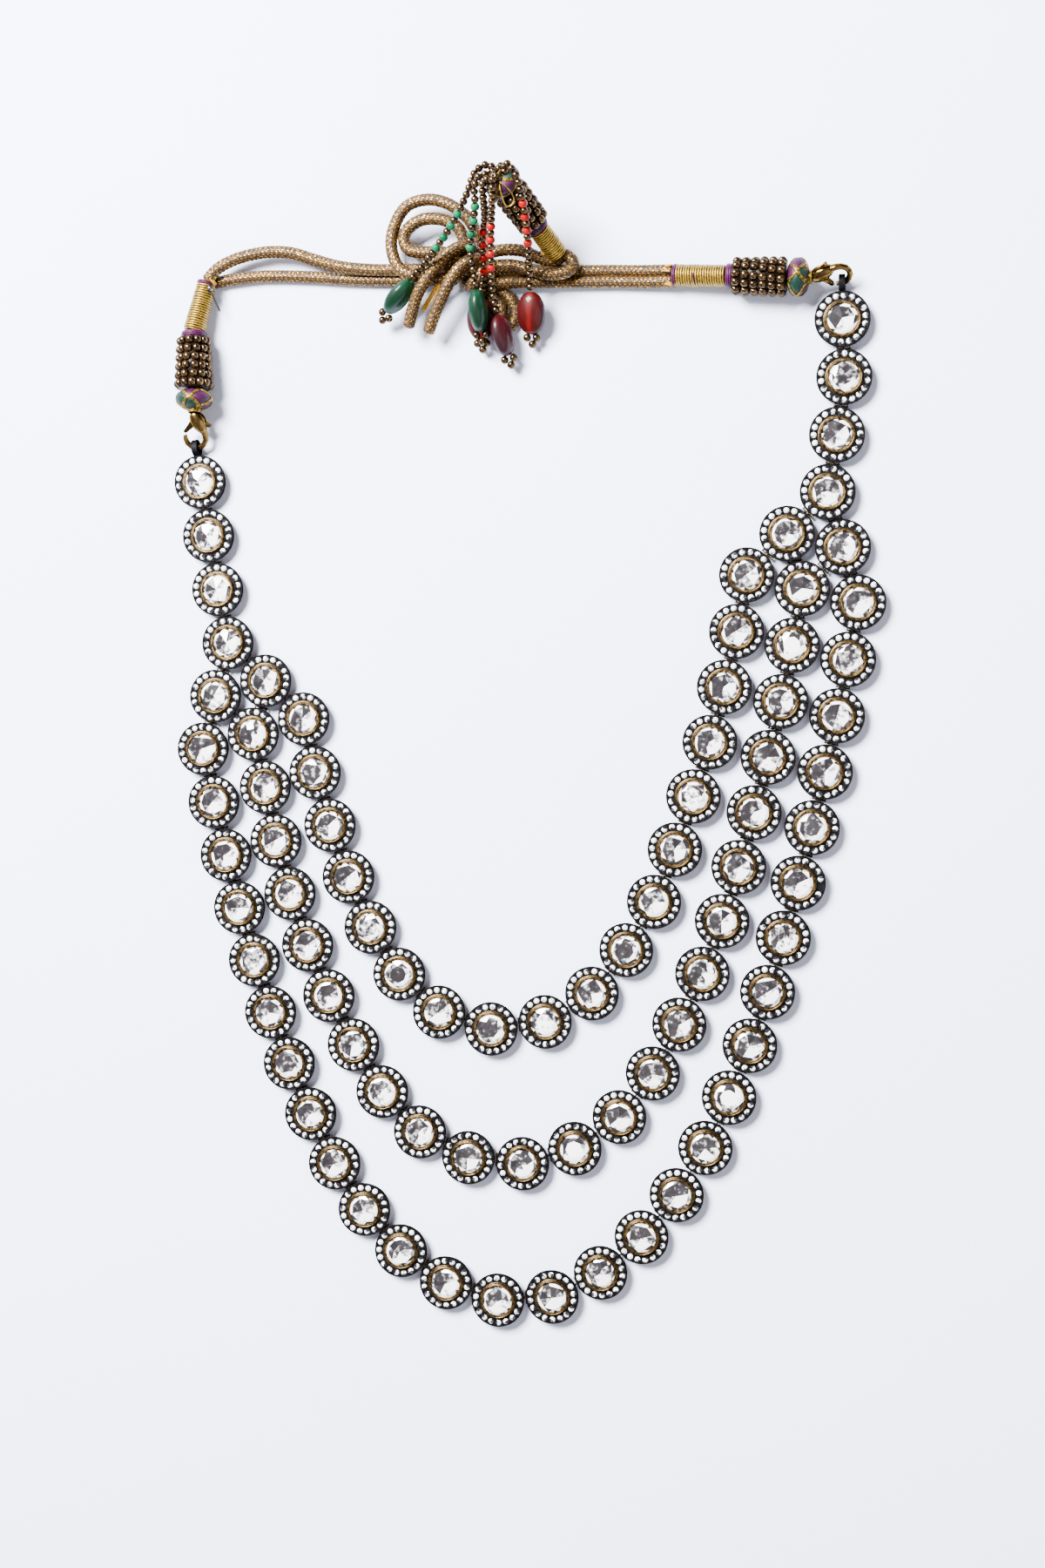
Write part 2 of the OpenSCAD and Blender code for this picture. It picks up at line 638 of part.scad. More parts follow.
// Knob wound with thread, flatter than a ball
module knob(e, wind, rings) {
    profile = concat(
        [[0, 0.15]],
        [for (a = [-75:15:75]) [knob_d / 2 * cos(a), knob_l / 2 + (knob_l / 2 - 0.15) * sin(a)]],
        [[0, knob_l - 0.15]]
    );
    color("darkgreen") stand(knob_at(e, wind, rings), e[BEAD_AZ], e[BEAD_RISE])
        rotate_extrude($fn = ROUND) polygon(profile);
}

// A round tube swept along a route, with one ring of points at each of its points
module tube(route, d, name) {
    last = len(route) - 1;
    color(name) skin([
        for (i = [0:last]) let (
            t = unit(route[min(i + 1, last)] - route[max(i - 1, 0)]),
            side = unit(cross(t, [0, 0, 1])),
            up = cross(side, t)
        ) [for (k = [0:CORD_SIDES - 1]) let (a = (k + 0.5) * 360 / CORD_SIDES)
            route[i] + d / 2 * (cos(a) * side + sin(a) * up)]
    ]);
}

module cord(route) {
    tube(route, cord_d, "darkkhaki");
}

// The tied knot that the cords run into
module cord_knot() {
    color("darkkhaki") hull()
        for (lump = KNOT) translate([lump[0], lump[1], lump[2]]) sphere(lump[3], $fn = 16);
}

// An oval glass bead, flatter than wide, drilled from end to end
module oval(row, name) {
    ends = 2 * asin(oval_hole_d / oval_t);
    steps = [for (i = [0:8]) ends + i * (180 - 2 * ends) / 8];
    color(name) translate(row[0]) rotate([0, -row[2], row[1]]) rotate([row[3], 0, 0])
        translate([oval_l / 2, 0, 0]) difference() {
            skin([for (a = steps) let (across = oval_w / 2 * sin(a), thick = oval_t / 2 * sin(a))
                [for (k = [0:11])
                    [-oval_l / 2 * cos(a) / cos(ends), across * cos(30 * k), thick * sin(30 * k)]]
            ]);
            rotate([0, 90, 0]) cylinder(h = oval_l + 2, d = oval_hole_d, center = true, $fn = 16);
        }
}

// Three seed beads below each oval bead: two side by side, then one
module tassel_end_beads() {
    side = end_bead_d / 2 + 0.18;
    first = oval_l + end_bead_d / 2 + 0.1;
    color("saddlebrown")
        for (row = OVALS)
            translate(row[0]) rotate([0, -row[2], row[1]]) {
                for (y = [-side, side]) translate([first, y, 0]) sphere(d = end_bead_d, $fn = 24);
                translate([first + 0.92 * end_bead_d, 0, 0]) sphere(d = end_bead_d, $fn = 24);
            }
}

settings_neck_right();
settings_shoulder_right();
settings_strand_inner();
settings_strand_middle();
settings_strand_outer();
settings_shoulder_left();
settings_neck_left();
stones(right_neck, 0, 2);  // stones_neck_right
stones(right_shoulder, 0, 5);  // stones_shoulder_right
stones(inner_strand, 1, inner_count - 2);  // stones_strand_inner
stones(middle_strand, 1, middle_count - 2);  // stones_strand_middle
stones(outer_strand, 1, outer_count - 2);  // stones_strand_outer
stones(left_shoulder, 0, 5);  // stones_shoulder_left
stones(left_neck, 0, 2);  // stones_neck_left
clasp_right();
clasp_left();
lever_right();
lever_left();
winding(RIGHT_END, winding_l);  // winding_right
winding(LEFT_END, winding_l);  // winding_left
winding(TASSEL_END, tassel_winding_l);  // winding_tassel
band(RIGHT_END, winding_l);  // band_right
band(LEFT_END, winding_l);  // band_left
band(TASSEL_END, tassel_winding_l);  // band_tassel
barrel(RIGHT_END, winding_l, side_rings);  // barrel_right
barrel(LEFT_END, winding_l, side_rings);  // barrel_left
barrel(TASSEL_END, tassel_winding_l, tassel_rings);  // barrel_tassel
knob(RIGHT_END, winding_l, side_rings);  // knob_right
knob(LEFT_END, winding_l, side_rings);  // knob_left
knob(TASSEL_END, tassel_winding_l, tassel_rings);  // knob_tassel
cord_knot();
cord(RIGHT_UPPER);  // cord_right_upper
cord(RIGHT_LOWER);  // cord_right_lower
cord(LEFT_UPPER);  // cord_left_upper
cord(LEFT_LOWER);  // cord_left_lower
cord(LOOP_OUTER);  // cord_loop_outer
cord(LOOP_INNER);  // cord_loop_inner
cord(END_LEFT);  // cord_end_left
cord(END_RIGHT);  // cord_end_right
cord(TASSEL_HUMP);  // cord_tassel_hump
cord(TASSEL_TURN);  // cord_tassel_turn
cord(LOW_LOOP);  // cord_low_loop
tube(GREEN_LEFT, string_d, "saddlebrown");  // string_green_left
tube(GREEN_MIDDLE, string_d, "saddlebrown");  // string_green_middle
tube(RED_HIDDEN, string_d, "saddlebrown");  // string_red_hidden
tube(RED_MIDDLE, string_d, "saddlebrown");  // string_red_middle
tube(RED_RIGHT, string_d, "saddlebrown");  // string_red_right
oval(OVALS[0], "seagreen");  // oval_green_left
oval(OVALS[1], "seagreen");  // oval_green_middle
oval(OVALS[2], "darkred");  // oval_red_hidden
oval(OVALS[3], "darkred");  // oval_red_middle
oval(OVALS[4], "darkred");  // oval_red_right
tassel_end_beads();
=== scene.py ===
"""Necklace of stone-set discs in three strands, with a knitted cord, a bow and a tassel.

Run as a script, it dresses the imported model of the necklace: it lays the cords, adds the
small stones, beads and threads, gives every part its finish, and lights it on a pale table."""

import math
import random
from collections import namedtuple

import bpy
import numpy as np
from bpy.props import FloatProperty, FloatVectorProperty, IntProperty, PointerProperty
from mathutils import Matrix, Vector


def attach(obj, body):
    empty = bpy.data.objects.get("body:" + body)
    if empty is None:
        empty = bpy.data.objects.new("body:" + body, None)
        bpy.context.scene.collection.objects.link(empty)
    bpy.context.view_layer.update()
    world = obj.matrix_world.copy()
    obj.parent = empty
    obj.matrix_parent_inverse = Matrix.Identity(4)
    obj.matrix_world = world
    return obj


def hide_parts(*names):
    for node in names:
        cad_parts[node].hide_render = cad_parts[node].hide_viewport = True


bl_info = {
    "name": "Stone-set necklace",
    "version": (1, 0, 0),
    "blender": (4, 5, 0),
    "location": "3D View > Sidebar > Necklace",
    "description": "Dresses a three-strand necklace with its stones, cord, beads and tassel",
    "category": "Object",
}

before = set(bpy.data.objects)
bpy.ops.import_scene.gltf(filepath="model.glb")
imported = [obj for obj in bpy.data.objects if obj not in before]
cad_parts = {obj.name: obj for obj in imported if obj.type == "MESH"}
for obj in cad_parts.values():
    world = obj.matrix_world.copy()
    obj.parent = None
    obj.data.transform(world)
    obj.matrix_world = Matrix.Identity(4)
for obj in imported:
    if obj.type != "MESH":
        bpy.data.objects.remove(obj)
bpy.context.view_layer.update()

MM = 0.001
NECKLACE = "necklace"


def linear(colour):
    """Linear red, green, blue and alpha of an sRGB hex colour."""
    parts = [int(colour[i : i + 2], 16) / 255 for i in (1, 3, 5)]
    bright = [c / 12.92 if c <= 0.04045 else ((c + 0.055) / 1.055) ** 2.4 for c in parts]
    return (*bright, 1.0)


def tint(name, colour, description):
    """A colour that the user can change, given as sRGB hex."""
    return FloatVectorProperty(
        name=name, description=description, subtype="COLOR", size=4, min=0, max=1, default=linear(colour)
    )


def size(name, millimetres, description):
    """A length that the user can change, given in millimetres."""
    return FloatProperty(
        name=name, description=description, unit="LENGTH", precision=5, min=0, default=millimetres * MM
    )


# Places

# The cords' chosen points in metres, as in the part's source. Where two runs are one
# cord that passes through the knot or the winding, the points in between are added.
RIGHT_UPPER = [
    (0.038, 0.1207, 0.0028), (0.03, 0.121, 0.002), (0.022, 0.1214, 0.0018), (0.014, 0.1216, 0.0021),
    (0.006, 0.1218, 0.0027), (-0.001, 0.1219, 0.0033), (-0.0075, 0.1219, 0.0033),
]
RIGHT_LOWER = [
    (0.038, 0.1181, 0.0028), (0.03, 0.1184, 0.002), (0.022, 0.1188, 0.0018), (0.014, 0.119, 0.002),
    (0.006, 0.1192, 0.0026), (-0.001, 0.1192, 0.0034), (-0.0075, 0.1192, 0.0039),
]
LEFT_UPPER = [
    (-0.082, 0.1221, 0.0041), (-0.0787, 0.1254, 0.0041), (-0.0734, 0.1278, 0.0039),
    (-0.0664, 0.1291, 0.0036), (-0.0596, 0.1287, 0.0036), (-0.0533, 0.1267, 0.0036),
    (-0.047, 0.1248, 0.0036), (-0.04, 0.1238, 0.0035), (-0.033, 0.1234, 0.0034),
    (-0.026, 0.1233, 0.0035), (-0.019, 0.1236, 0.0039),
]
LEFT_LOWER = [
    (-0.0822, 0.1222, 0.0015), (-0.0755, 0.123, 0.0014), (-0.0685, 0.1235, 0.0013),
    (-0.061, 0.1233, 0.0013), (-0.053, 0.1227, 0.0013), (-0.045, 0.1219, 0.0013),
    (-0.036, 0.1214, 0.0013), (-0.027, 0.1211, 0.0013), (-0.019, 0.1212, 0.0017),
]
BOW_OUTER = [
    (-0.0113, 0.128, 0.004), (-0.0122, 0.1336, 0.0055), (-0.0166, 0.1378, 0.0062),
    (-0.0227, 0.14, 0.0058), (-0.0288, 0.1388, 0.0052), (-0.0322, 0.134, 0.0049),
    (-0.0329, 0.1286, 0.0052), (-0.0308, 0.1234, 0.0061), (-0.0264, 0.1209, 0.0063),
    (-0.0214, 0.1203, 0.0061), (-0.017, 0.1208, 0.0054), (-0.0138, 0.1222, 0.0048),
    (-0.0116, 0.1242, 0.005), (-0.0114, 0.1264, 0.006), (-0.0126, 0.1275, 0.0083),
    (-0.0162, 0.1265, 0.0093), (-0.0208, 0.1226, 0.0092), (-0.0234, 0.1194, 0.0087),
    (-0.0258, 0.1159, 0.0076), (-0.0274, 0.112, 0.0064), (-0.0286, 0.1083, 0.0053),
]
BOW_INNER = [
    (-0.0138, 0.128, 0.0048), (-0.0158, 0.1328, 0.0056), (-0.0204, 0.135, 0.0059),
    (-0.0256, 0.1349, 0.0056), (-0.0296, 0.132, 0.005), (-0.0288, 0.1282, 0.0049),
    (-0.025, 0.1272, 0.005), (-0.0205, 0.127, 0.0052), (-0.016, 0.126, 0.005),
    (-0.0126, 0.1246, 0.0048), (-0.0099, 0.124, 0.0058), (-0.0109, 0.1243, 0.0082),
    (-0.014, 0.1228, 0.0091), (-0.0172, 0.119, 0.0087), (-0.02, 0.1142, 0.0074),
    (-0.022, 0.1104, 0.0062), (-0.0236, 0.1067, 0.0052),
]
TASSEL_CORD = [
    (-0.0088, 0.1264, 0.0048), (-0.004, 0.1267, 0.0062), (0.0006, 0.1264, 0.0056),
    (0.0044, 0.125, 0.0038), (0.0085, 0.1241, 0.0036), (0.011, 0.1252, 0.005),
    (0.0133, 0.123, 0.005), (0.0116, 0.1208, 0.0058), (0.0074, 0.1204, 0.006),
    (0.0024, 0.1217, 0.0061), (-0.0026, 0.1229, 0.006), (-0.0073, 0.1228, 0.0058),
]
LOW_LOOP = [
    (-0.0094, 0.1214, 0.0028), (-0.0084, 0.1188, 0.0013), (-0.0049, 0.1171, 0.0013),
    (-0.0025, 0.1144, 0.0013), (-0.0019, 0.1112, 0.0013), (-0.0035, 0.1087, 0.0013),
    (-0.0052, 0.1108, 0.0013), (-0.0058, 0.114, 0.0013), (-0.0083, 0.1161, 0.0013),
    (-0.0112, 0.1186, 0.0015), (-0.0124, 0.1214, 0.0032),
]

# The knot, in millimetres: the lump that its cords pull tight, and the wraps over the lump,
# which are short runs of the same cord
KNOT_D = 5.7
KNOT_LUMP = [
    (-18.6, 122.3, 3.4), (-17, 122.4, 3.6), (-14.5, 122.8, 3.9), (-12, 123, 4), (-9.6, 122.4, 3.8),
    (-7.8, 121.8, 3.6),
]
KNOT_WRAPS = [
    [(-16.8, 119.9, 2.2), (-18.2, 121.4, 4.6), (-17.6, 123.6, 6.2), (-15.2, 125.6, 6),
     (-13.6, 127, 3.6), (-14, 126.8, 1.6)],
    [(-8.4, 118.6, 2.4), (-7.6, 120.2, 5.2), (-9.2, 122.6, 6.2), (-10.6, 125.2, 5.8), (-10.4, 127, 3.4)],
    [(-14.6, 118.9, 3.4), (-12, 119, 5.8), (-10, 120.4, 6.3), (-9.4, 123.4, 5.8), (-12.4, 126.8, 5.4)],
]

# The cord's ends, in millimetres and degrees as in the part's source: start, azimuth and
# rise of the winding and of the beads, diameters of both from end to end, winding, bead rings
End = namedtuple("End", "start wind_az wind_rise bead_az bead_rise wind_d beads_d wind_l rings")
ENDS = {
    "right": End((38.2, 119.5, 2.8), -4.2, 8.5, -3.4, 1.5, (5.4, 5.2), (9.2, 9.8), 13, 6),
    "left": End((-82.2, 122, 2.7), -103, 8, -88.5, 4, (4.8, 5.6), (8.8, 10.4), 13, 6),
    "tassel": End((9.5, 125.1, 6), 126.5, 43, 126.5, 43, (5.2, 5.2), (8.6, 9), 9, 5),
}
BAND_L, BEAD_D, KNOB_D, KNOB_L = 1.5, 2.2, 9.2, 5.5

# The clasps: azimuth and rise from hook to knob and roll about that line, in degrees, and
# the reach from the middle of the hook to the knob, in millimetres
CLASPS = {"right": (183.5, 6.5, 125), "left": (85, 21, 180)}
CLASP_REACH = 9.8

# The tassel's strings in millimetres from knob to oval bead, and each string's beads in
# order: b bronze, g green, r red
STRINGS = {
    "green_left": ("bbbbbbbbbgbgbgbgbbbbbb", [
        (-3.3, 142.3, 22.9), (-4.6, 143.6, 23), (-7.8, 142, 22.5), (-10, 137.6, 21.2),
        (-12.9, 133, 19), (-16.2, 129.2, 16.6), (-19.7, 125.8, 14), (-23.3, 122.7, 11.2),
        (-27, 119.8, 8.7)]),
    "green_middle": ("bbbbbgbgbgbgbbbbb", [
        (-4.4, 140.7, 23.6), (-6.2, 140.9, 24.2), (-7.8, 138.2, 23.6), (-8, 134.4, 21.8),
        (-9.1, 130.6, 19.2), (-10.4, 127.1, 16.2), (-10.7, 123.5, 13.8), (-10.3, 119.8, 12),
        (-10.2, 116.7, 10.8)]),
    "red_hidden": ("bbbbbbbbbrbrbrbrbbbb", [
        (-3.8, 139.4, 25.1), (-5.2, 138.9, 26.1), (-5.6, 136.2, 24.2), (-5.9, 133.8, 21),
        (-6.5, 131.4, 17.6), (-7.6, 128.4, 14.6), (-8.1, 125, 11.8), (-8.3, 121.4, 9.2),
        (-9.4, 117.8, 6.2), (-10.5, 116.1, 3.3)]),
    "red_middle": ("bbbbbbbbrbrbrbrbbbbbb", [
        (-2.1, 139.4, 26.2), (-2.4, 139.3, 28), (-2.6, 136.4, 27.6), (-3.3, 133.6, 24.6),
        (-4.2, 130.6, 21.2), (-5, 127, 18), (-5.5, 123, 15.2), (-5.9, 118.8, 12.4),
        (-6, 114.6, 9.6), (-5.7, 111, 7.2)]),
    "red_right": ("bbbbbbbrbrbrbrbbbbbbb", [
        (-0.2, 141.7, 25.4), (0.8, 142.4, 27.4), (3.2, 139.4, 28), (4, 135.2, 25.2),
        (4.2, 130.8, 21.2), (4, 126.6, 17), (3.4, 122.6, 12.6), (3, 119.2, 8.6), (2.8, 116.4, 6.7)]),
}

# Oval beads in millimetres and degrees: top, azimuth, rise and roll
OVALS = {
    "green_left": ((-27.3, 119.5, 8.4), -134, -20, -80),
    "green_middle": ((-10.2, 116.3, 10.6), -87, -20, 90),
    "red_hidden": ((-10.7, 115.7, 2.6), -88, -1, 0),
    "red_middle": ((-5.6, 110.6, 6.9), -77, -18, -68),
    "red_right": ((2.8, 116, 6.4), -92, -18, 8),
}
OVAL_L, OVAL_W, OVAL_T, OVAL_HOLE, END_BEAD = 10.3, 7.2, 4.6, 0.9, 1.9
# Where an oval's rounded end gives way to its hole, in radians from its tip
OVAL_MOUTH = 0.14

# Heights of a setting and its stone above the table, and their radii, in millimetres
BACK_TOP, PLATE_Z, PLATE_TOP, BEZEL_TOP = 0.8, 2.2, 2.9, 3.75
GIRDLE_TOP, GIRDLE_LOW, STONE_BACK, STONE_R, STONE_TOP = 3.2, 2.95, 1.75, 3.85, 4.05
GALLERY_R, PLATE_R, BEZEL_R = 5.7, 6.75, 4.35

# Middles of the two bails, in millimetres, and the reach round each that isn't gilt
BAILS = (78.86, 116.3, 2.15), (-85.36, 80.1, 2.15)
BAIL_REACH = 2.9

# Radius of the ring of small stones, how far inside and outside it the prong beads stand, and
# the seat whose small stone is lost with its reach, all in millimetres
HALO_R, PRONG_IN, PRONG_OUT = 5.62, 0.52, 0.56
LOST_STONE, LOST_REACH = (73.7, -30.3), 0.95

# The posts of one gallery, and the turn in radians to either side of a link that stays clear
POSTS, LINK_CLEAR = 16, 0.36
# How far apart two settings' middles may be and still be linked, in millimetres
LINK_REACH = 14.6

# One cheek of a clasp, in millimetres from the hook's middle: along, across, half width, rise
CHEEK = [
    (4.2, 2.35, 0.5, 0.3), (4.9, 2, 1.15, 0.7), (5.8, 1.6, 1.65, 0.95), (6.9, 1.05, 1.9, 1.1),
    (7.9, 0.5, 1.75, 1.05), (8.8, 0.15, 1.3, 0.85), (9.5, 0, 0.75, 0.55),
]
CHEEK_LOW = 0.62

# The rows of settings, as the model names them
ROWS = ("neck_right", "shoulder_right", "strand_inner", "strand_middle", "strand_outer",
        "shoulder_left", "neck_left")

# Loose ends of yellow cotton, in millimetres: from, to, threads, how far they stray
COTTON = [
    ((-80.6, 122.7, 5.1), (-79.5, 121.3, 3.9), 9, 0.3), ((-82.4, 123.6, 4.2), (-81.7, 122.6, 4.9), 5, 0.25),
    ((36, 121.5, 3.9), (37.6, 121.8, 4), 8, 0.3), ((36, 117.4, 3.9), (37.7, 117, 4), 7, 0.3),
    ((35.2, 120.3, 4.2), (37.3, 120.2, 5), 4, 0.25), ((-20.6, 118.6, 6.6), (-25.2, 113, 4.2), 12, 0.45),
    ((7.3, 126.3, 6.9), (6, 125.2, 6.3), 9, 0.3),
]
# Ends of purple silk, in millimetres: the thread across the right winding, and the tassel's tuft
PURPLE_THREAD = [(42.9, 119.3, 6.3), (43.1, 117.9, 6.1), (43.35, 116.7, 4.95)]
PURPLE_TUFT = ((5.4, 125.9, 6.7), (4.6, 125.4, 6.2), 6, 0.25)
# The pin in the left winding and the middle of its head, in millimetres
PIN = [(-80.55, 120, 4.75), (-80.2, 118.8, 4.45), (-78.45, 114.65, 3.3)]
PIN_HEAD = (-80.6, 120.3, 4.85)
# The loop of gold thread on the tassel, in millimetres
ZARI_LOOP = [
    (-1.1, 138, 26.6), (-0.9, 136.6, 26.7), (-0.5, 135, 26.4), (0.2, 133, 25.6), (1.3, 132.9, 25.3),
    (2.3, 134.2, 25.6), (1.6, 135.9, 26.3), (0.3, 137.4, 26.7), (-0.8, 138.1, 26.8),
]

# The camera's place in metres, its tilts in degrees, and its lens and sensor in millimetres
CAMERA_PLACE, CAMERA_ROLL, CAMERA_PITCH = (0.1007, 0.0096, 0.539), 10.63, -1.61
CAMERA_LENS, CAMERA_SENSOR = 50, 36

# The lamps: place and width in metres, and watts
LAMPS = {"window": ((-0.42, 0.5, 0.8), 0.44, 104.0), "fill": ((0.6, -0.4, 0.7), 0.9, 5.0)}


class NecklaceSizes(bpy.types.PropertyGroup):
    """Sizes of the small pieces that the necklace is dressed with"""

    halo_count: IntProperty(
        name="Halo stones", description="Small stones round each main stone", min=12, max=22, default=18
    )
    halo_d: size("Halo stone", 1.42, "Diameter of a small stone")
    prong_d: size("Prong bead", 0.5, "Diameter of the beads that hold the small stones")
    milgrain: size("Milgrain", 0.46, "Spacing of the grains along the bezel's edge")
    post_d: size("Gallery post", 0.42, "Thickness of the posts behind each plate")
    cord_d: size("Cord", 2.8, "Diameter of the knitted cord")
    stitch: size("Stitch", 1.2, "Length of one knitted stitch along the cord")
    wales: IntProperty(
        name="Columns", description="Columns of stitches round the cord", min=4, max=10, default=8
    )
    zari: size("Gold thread", 0.62, "Spacing of the turns of gold thread on the windings")
    silk: size("Silk thread", 0.45, "Spacing of the silk threads on knobs and bands")


class NecklaceColours(bpy.types.PropertyGroup):
    """Colours of the necklace's materials"""

    rhodium: tint("Black rhodium", "#1B1B1E", "Dark plating of the plates")
    gilt: tint("Gilding", "#54432A", "Antique gold of bezels, galleries and links")
    brass: tint("Brass", "#6A5530", "Brass of the clasps")
    # Both foil colours are painted light: the white is the foil's painted reflection, the dark its painted
    # shade
    foil_painted_light: tint("Foil, light", "#FFFFFF", "Stone where its foil is bright")
    foil_painted_shade: tint("Foil, dark", "#2C2A2D", "Stone where its foil is in shade")
    bronze: tint("Bronze glass", "#53412A", "Metallic seed beads")
    green: tint("Green glass", "#055030", "Clear green beads")
    red: tint("Red glass", "#840402", "Clear red beads")
    maroon: tint("Dark red glass", "#4A0812", "Dark red oval beads")
    # The crests' colour is a painted highlight, the gaps' colour the core under painted shade
    zari_painted_highlight: tint("Gold thread, light", "#C0902F", "Crests of the gold thread")
    zari: tint("Gold thread", "#5A3A08", "Body of the gold thread")
    zari_core_and_painted_shade: tint("Gold thread, dark", "#120802", "Gaps between the stitches")
    purple: tint("Purple silk", "#2E0628", "Bands and patches of the knobs")
    bottle: tint("Green silk", "#052219", "Patches of the knobs")
    yellow: tint("Yellow cotton", "#A87A0C", "Loose threads at the cord's ends")
    table: tint("Table", "#DFE8FF", "Pale surface under the necklace")


# Shapes, in millimetres

def loft(rings, closed=False):
    """Joins rings of equally many points into a skin, with flat ends unless it closes on itself."""
    rings = np.asarray(rings, float)
    m, n = rings.shape[:2]
    a = np.arange(m * n).reshape(m, n)
    b = np.roll(a, -1, axis=1)
    if closed:
        quads = np.stack([a, b, np.roll(b, -1, axis=0), np.roll(a, -1, axis=0)], axis=-1)
        return rings.reshape(-1, 3), quads.reshape(-1, 4).tolist()
    quads = np.stack([a[:-1], b[:-1], b[1:], a[1:]], axis=-1)
    return rings.reshape(-1, 3), [*quads.reshape(-1, 4).tolist(), a[0][::-1].tolist(), a[-1].tolist()]


def circle(count):
    """Evenly spread turns that go once round, in radians."""
    return np.arange(count) * math.tau / count


def polar(radius, turn, height=0.0):
    """The point at a radius and a turn about the z axis."""
    return radius * math.cos(turn), radius * math.sin(turn), height


def beside(x, y, radius, turn):
    """The point at a radius and a turn about another one, seen from above."""
    return x + radius * math.cos(turn), y + radius * math.sin(turn)


def turned(profile, sides, closed=False):
    """A form turned about its z axis from (radius, height) pairs."""
    turn = circle(sides)
    rings = [np.stack([r * np.cos(turn), r * np.sin(turn), np.full(sides, z)], axis=-1) for r, z in profile]
    return loft(rings, closed)


def hoop(radius, height, wire, sides):
    """A ring of round wire that lies flat."""
    profile = [(radius + wire * math.cos(a), height + wire * math.sin(a)) for a in circle(6)]
    return turned(profile, sides, closed=True)


def seed_bead(diameter, length, hole=0.34):
    """A round glass bead with its hole along z, the hole a share of the diameter."""
    outer, inner = diameter / 2, hole * diameter / 2
    # How far from its waist the round outside goes, in radians, and how far out the hole's mouth is
    shoulder = 1.15
    mouth = 0.44 * length
    ball = [(outer * math.cos(a), length / 2 * math.sin(a) / math.sin(shoulder))
            for a in np.linspace(-shoulder, shoulder, 7)]
    return turned([*ball, (inner, mouth), (inner, -mouth)], 14, closed=True)


def moved(part, matrix):
    """The part at another place."""
    points, faces = part
    matrix = np.asarray(matrix, float)
    return points @ matrix[:3, :3].T + matrix[:3, 3], faces


def joined(parts):
    """Several parts as one."""
    points, faces, start = [], [], 0
    for p, f in parts:
        points.append(p)
        faces.extend([[i + start for i in face] for face in f])
        start += len(p)
    return np.concatenate(points), faces


def repeated(part, matrices):
    """Copies of the part, one at each matrix."""
    return joined([moved(part, m) for m in matrices])


def at(x, y, z=0.0, turn=0.0):
    """A place in millimetres, with a turn about z in radians."""
    return Matrix.Translation((x, y, z)) @ Matrix.Rotation(turn, 4, "Z")


def laid(point, azimuth, rise, roll=0.0):
    """The matrix that lays a part's x axis along an azimuth and a rise, rolled about it, in degrees."""
    return (
        Matrix.Translation(point)
        @ Matrix.Rotation(math.radians(azimuth), 4, "Z")
        @ Matrix.Rotation(math.radians(-rise), 4, "Y")
        @ Matrix.Rotation(math.radians(roll), 4, "X")
    )


def stand(point, azimuth, rise):
    """The matrix that stands a turned part on a point, its z axis along an azimuth and a rise."""
    return laid(point, azimuth, rise - 90)


def facing(point, direction, turn=0.0):
    """The matrix that puts a turned part's z axis along a direction."""
    q = Vector(direction).to_track_quat("Z", "Y").to_matrix().to_4x4()
    return Matrix.Translation(point) @ q @ Matrix.Rotation(turn, 4, "Z")


def aim(azimuth, rise):
    """Unit direction from degrees."""
    a, e = math.radians(azimuth), math.radians(rise)
    return Vector((math.cos(e) * math.cos(a), math.cos(e) * math.sin(a), math.sin(e)))


def smooth_line(points, spacing):
    """Evenly spaced points on the smooth line through the chosen ones."""
    p = np.asarray(points, float)
    q = np.vstack([2 * p[0] - p[1], p, 2 * p[-1] - p[-2]])
    fine = []
    for i in range(1, len(q) - 2):
        for t in np.linspace(0, 1, 24, endpoint=False):
            fine.append(0.5 * (
                2 * q[i] + (q[i + 1] - q[i - 1]) * t
                + (2 * q[i - 1] - 5 * q[i] + 4 * q[i + 1] - q[i + 2]) * t ** 2
                + (3 * q[i] - q[i - 1] - 3 * q[i + 1] + q[i + 2]) * t ** 3))
    fine = np.array([*fine, p[-1]])
    run = np.concatenate([[0], np.cumsum(np.linalg.norm(np.diff(fine, axis=0), axis=1))])
    stops = np.linspace(0, run[-1], max(2, int(round(run[-1] / spacing)) + 1))
    return np.stack([np.interp(stops, run, fine[:, k]) for k in range(3)], axis=-1), stops


def carried_frames(line):
    """Two directions across the line at each point, carried along it without a twist."""
    along = np.gradient(line, axis=0)
    along /= np.linalg.norm(along, axis=1)[:, None]
    side = np.cross(along[0], (0, 0, 1))
    sides = []
    for t in along:
        side = side - t * np.dot(side, t)
        side = side / np.linalg.norm(side)
        sides.append(side)
    sides = np.array(sides)
    return sides, np.cross(sides, along)


def spokes(line, sides):
    """Directions out from a line, evenly spread round it, at each of its points."""
    across, up = carried_frames(line)
    turn = -circle(sides)
    return np.cos(turn)[None, :, None] * across[:, None] + np.sin(turn)[None, :, None] * up[:, None]


def tube(line, radius, sides):
    """A plain round tube along a line."""
    return loft(line[:, None] + radius * spokes(line, sides))


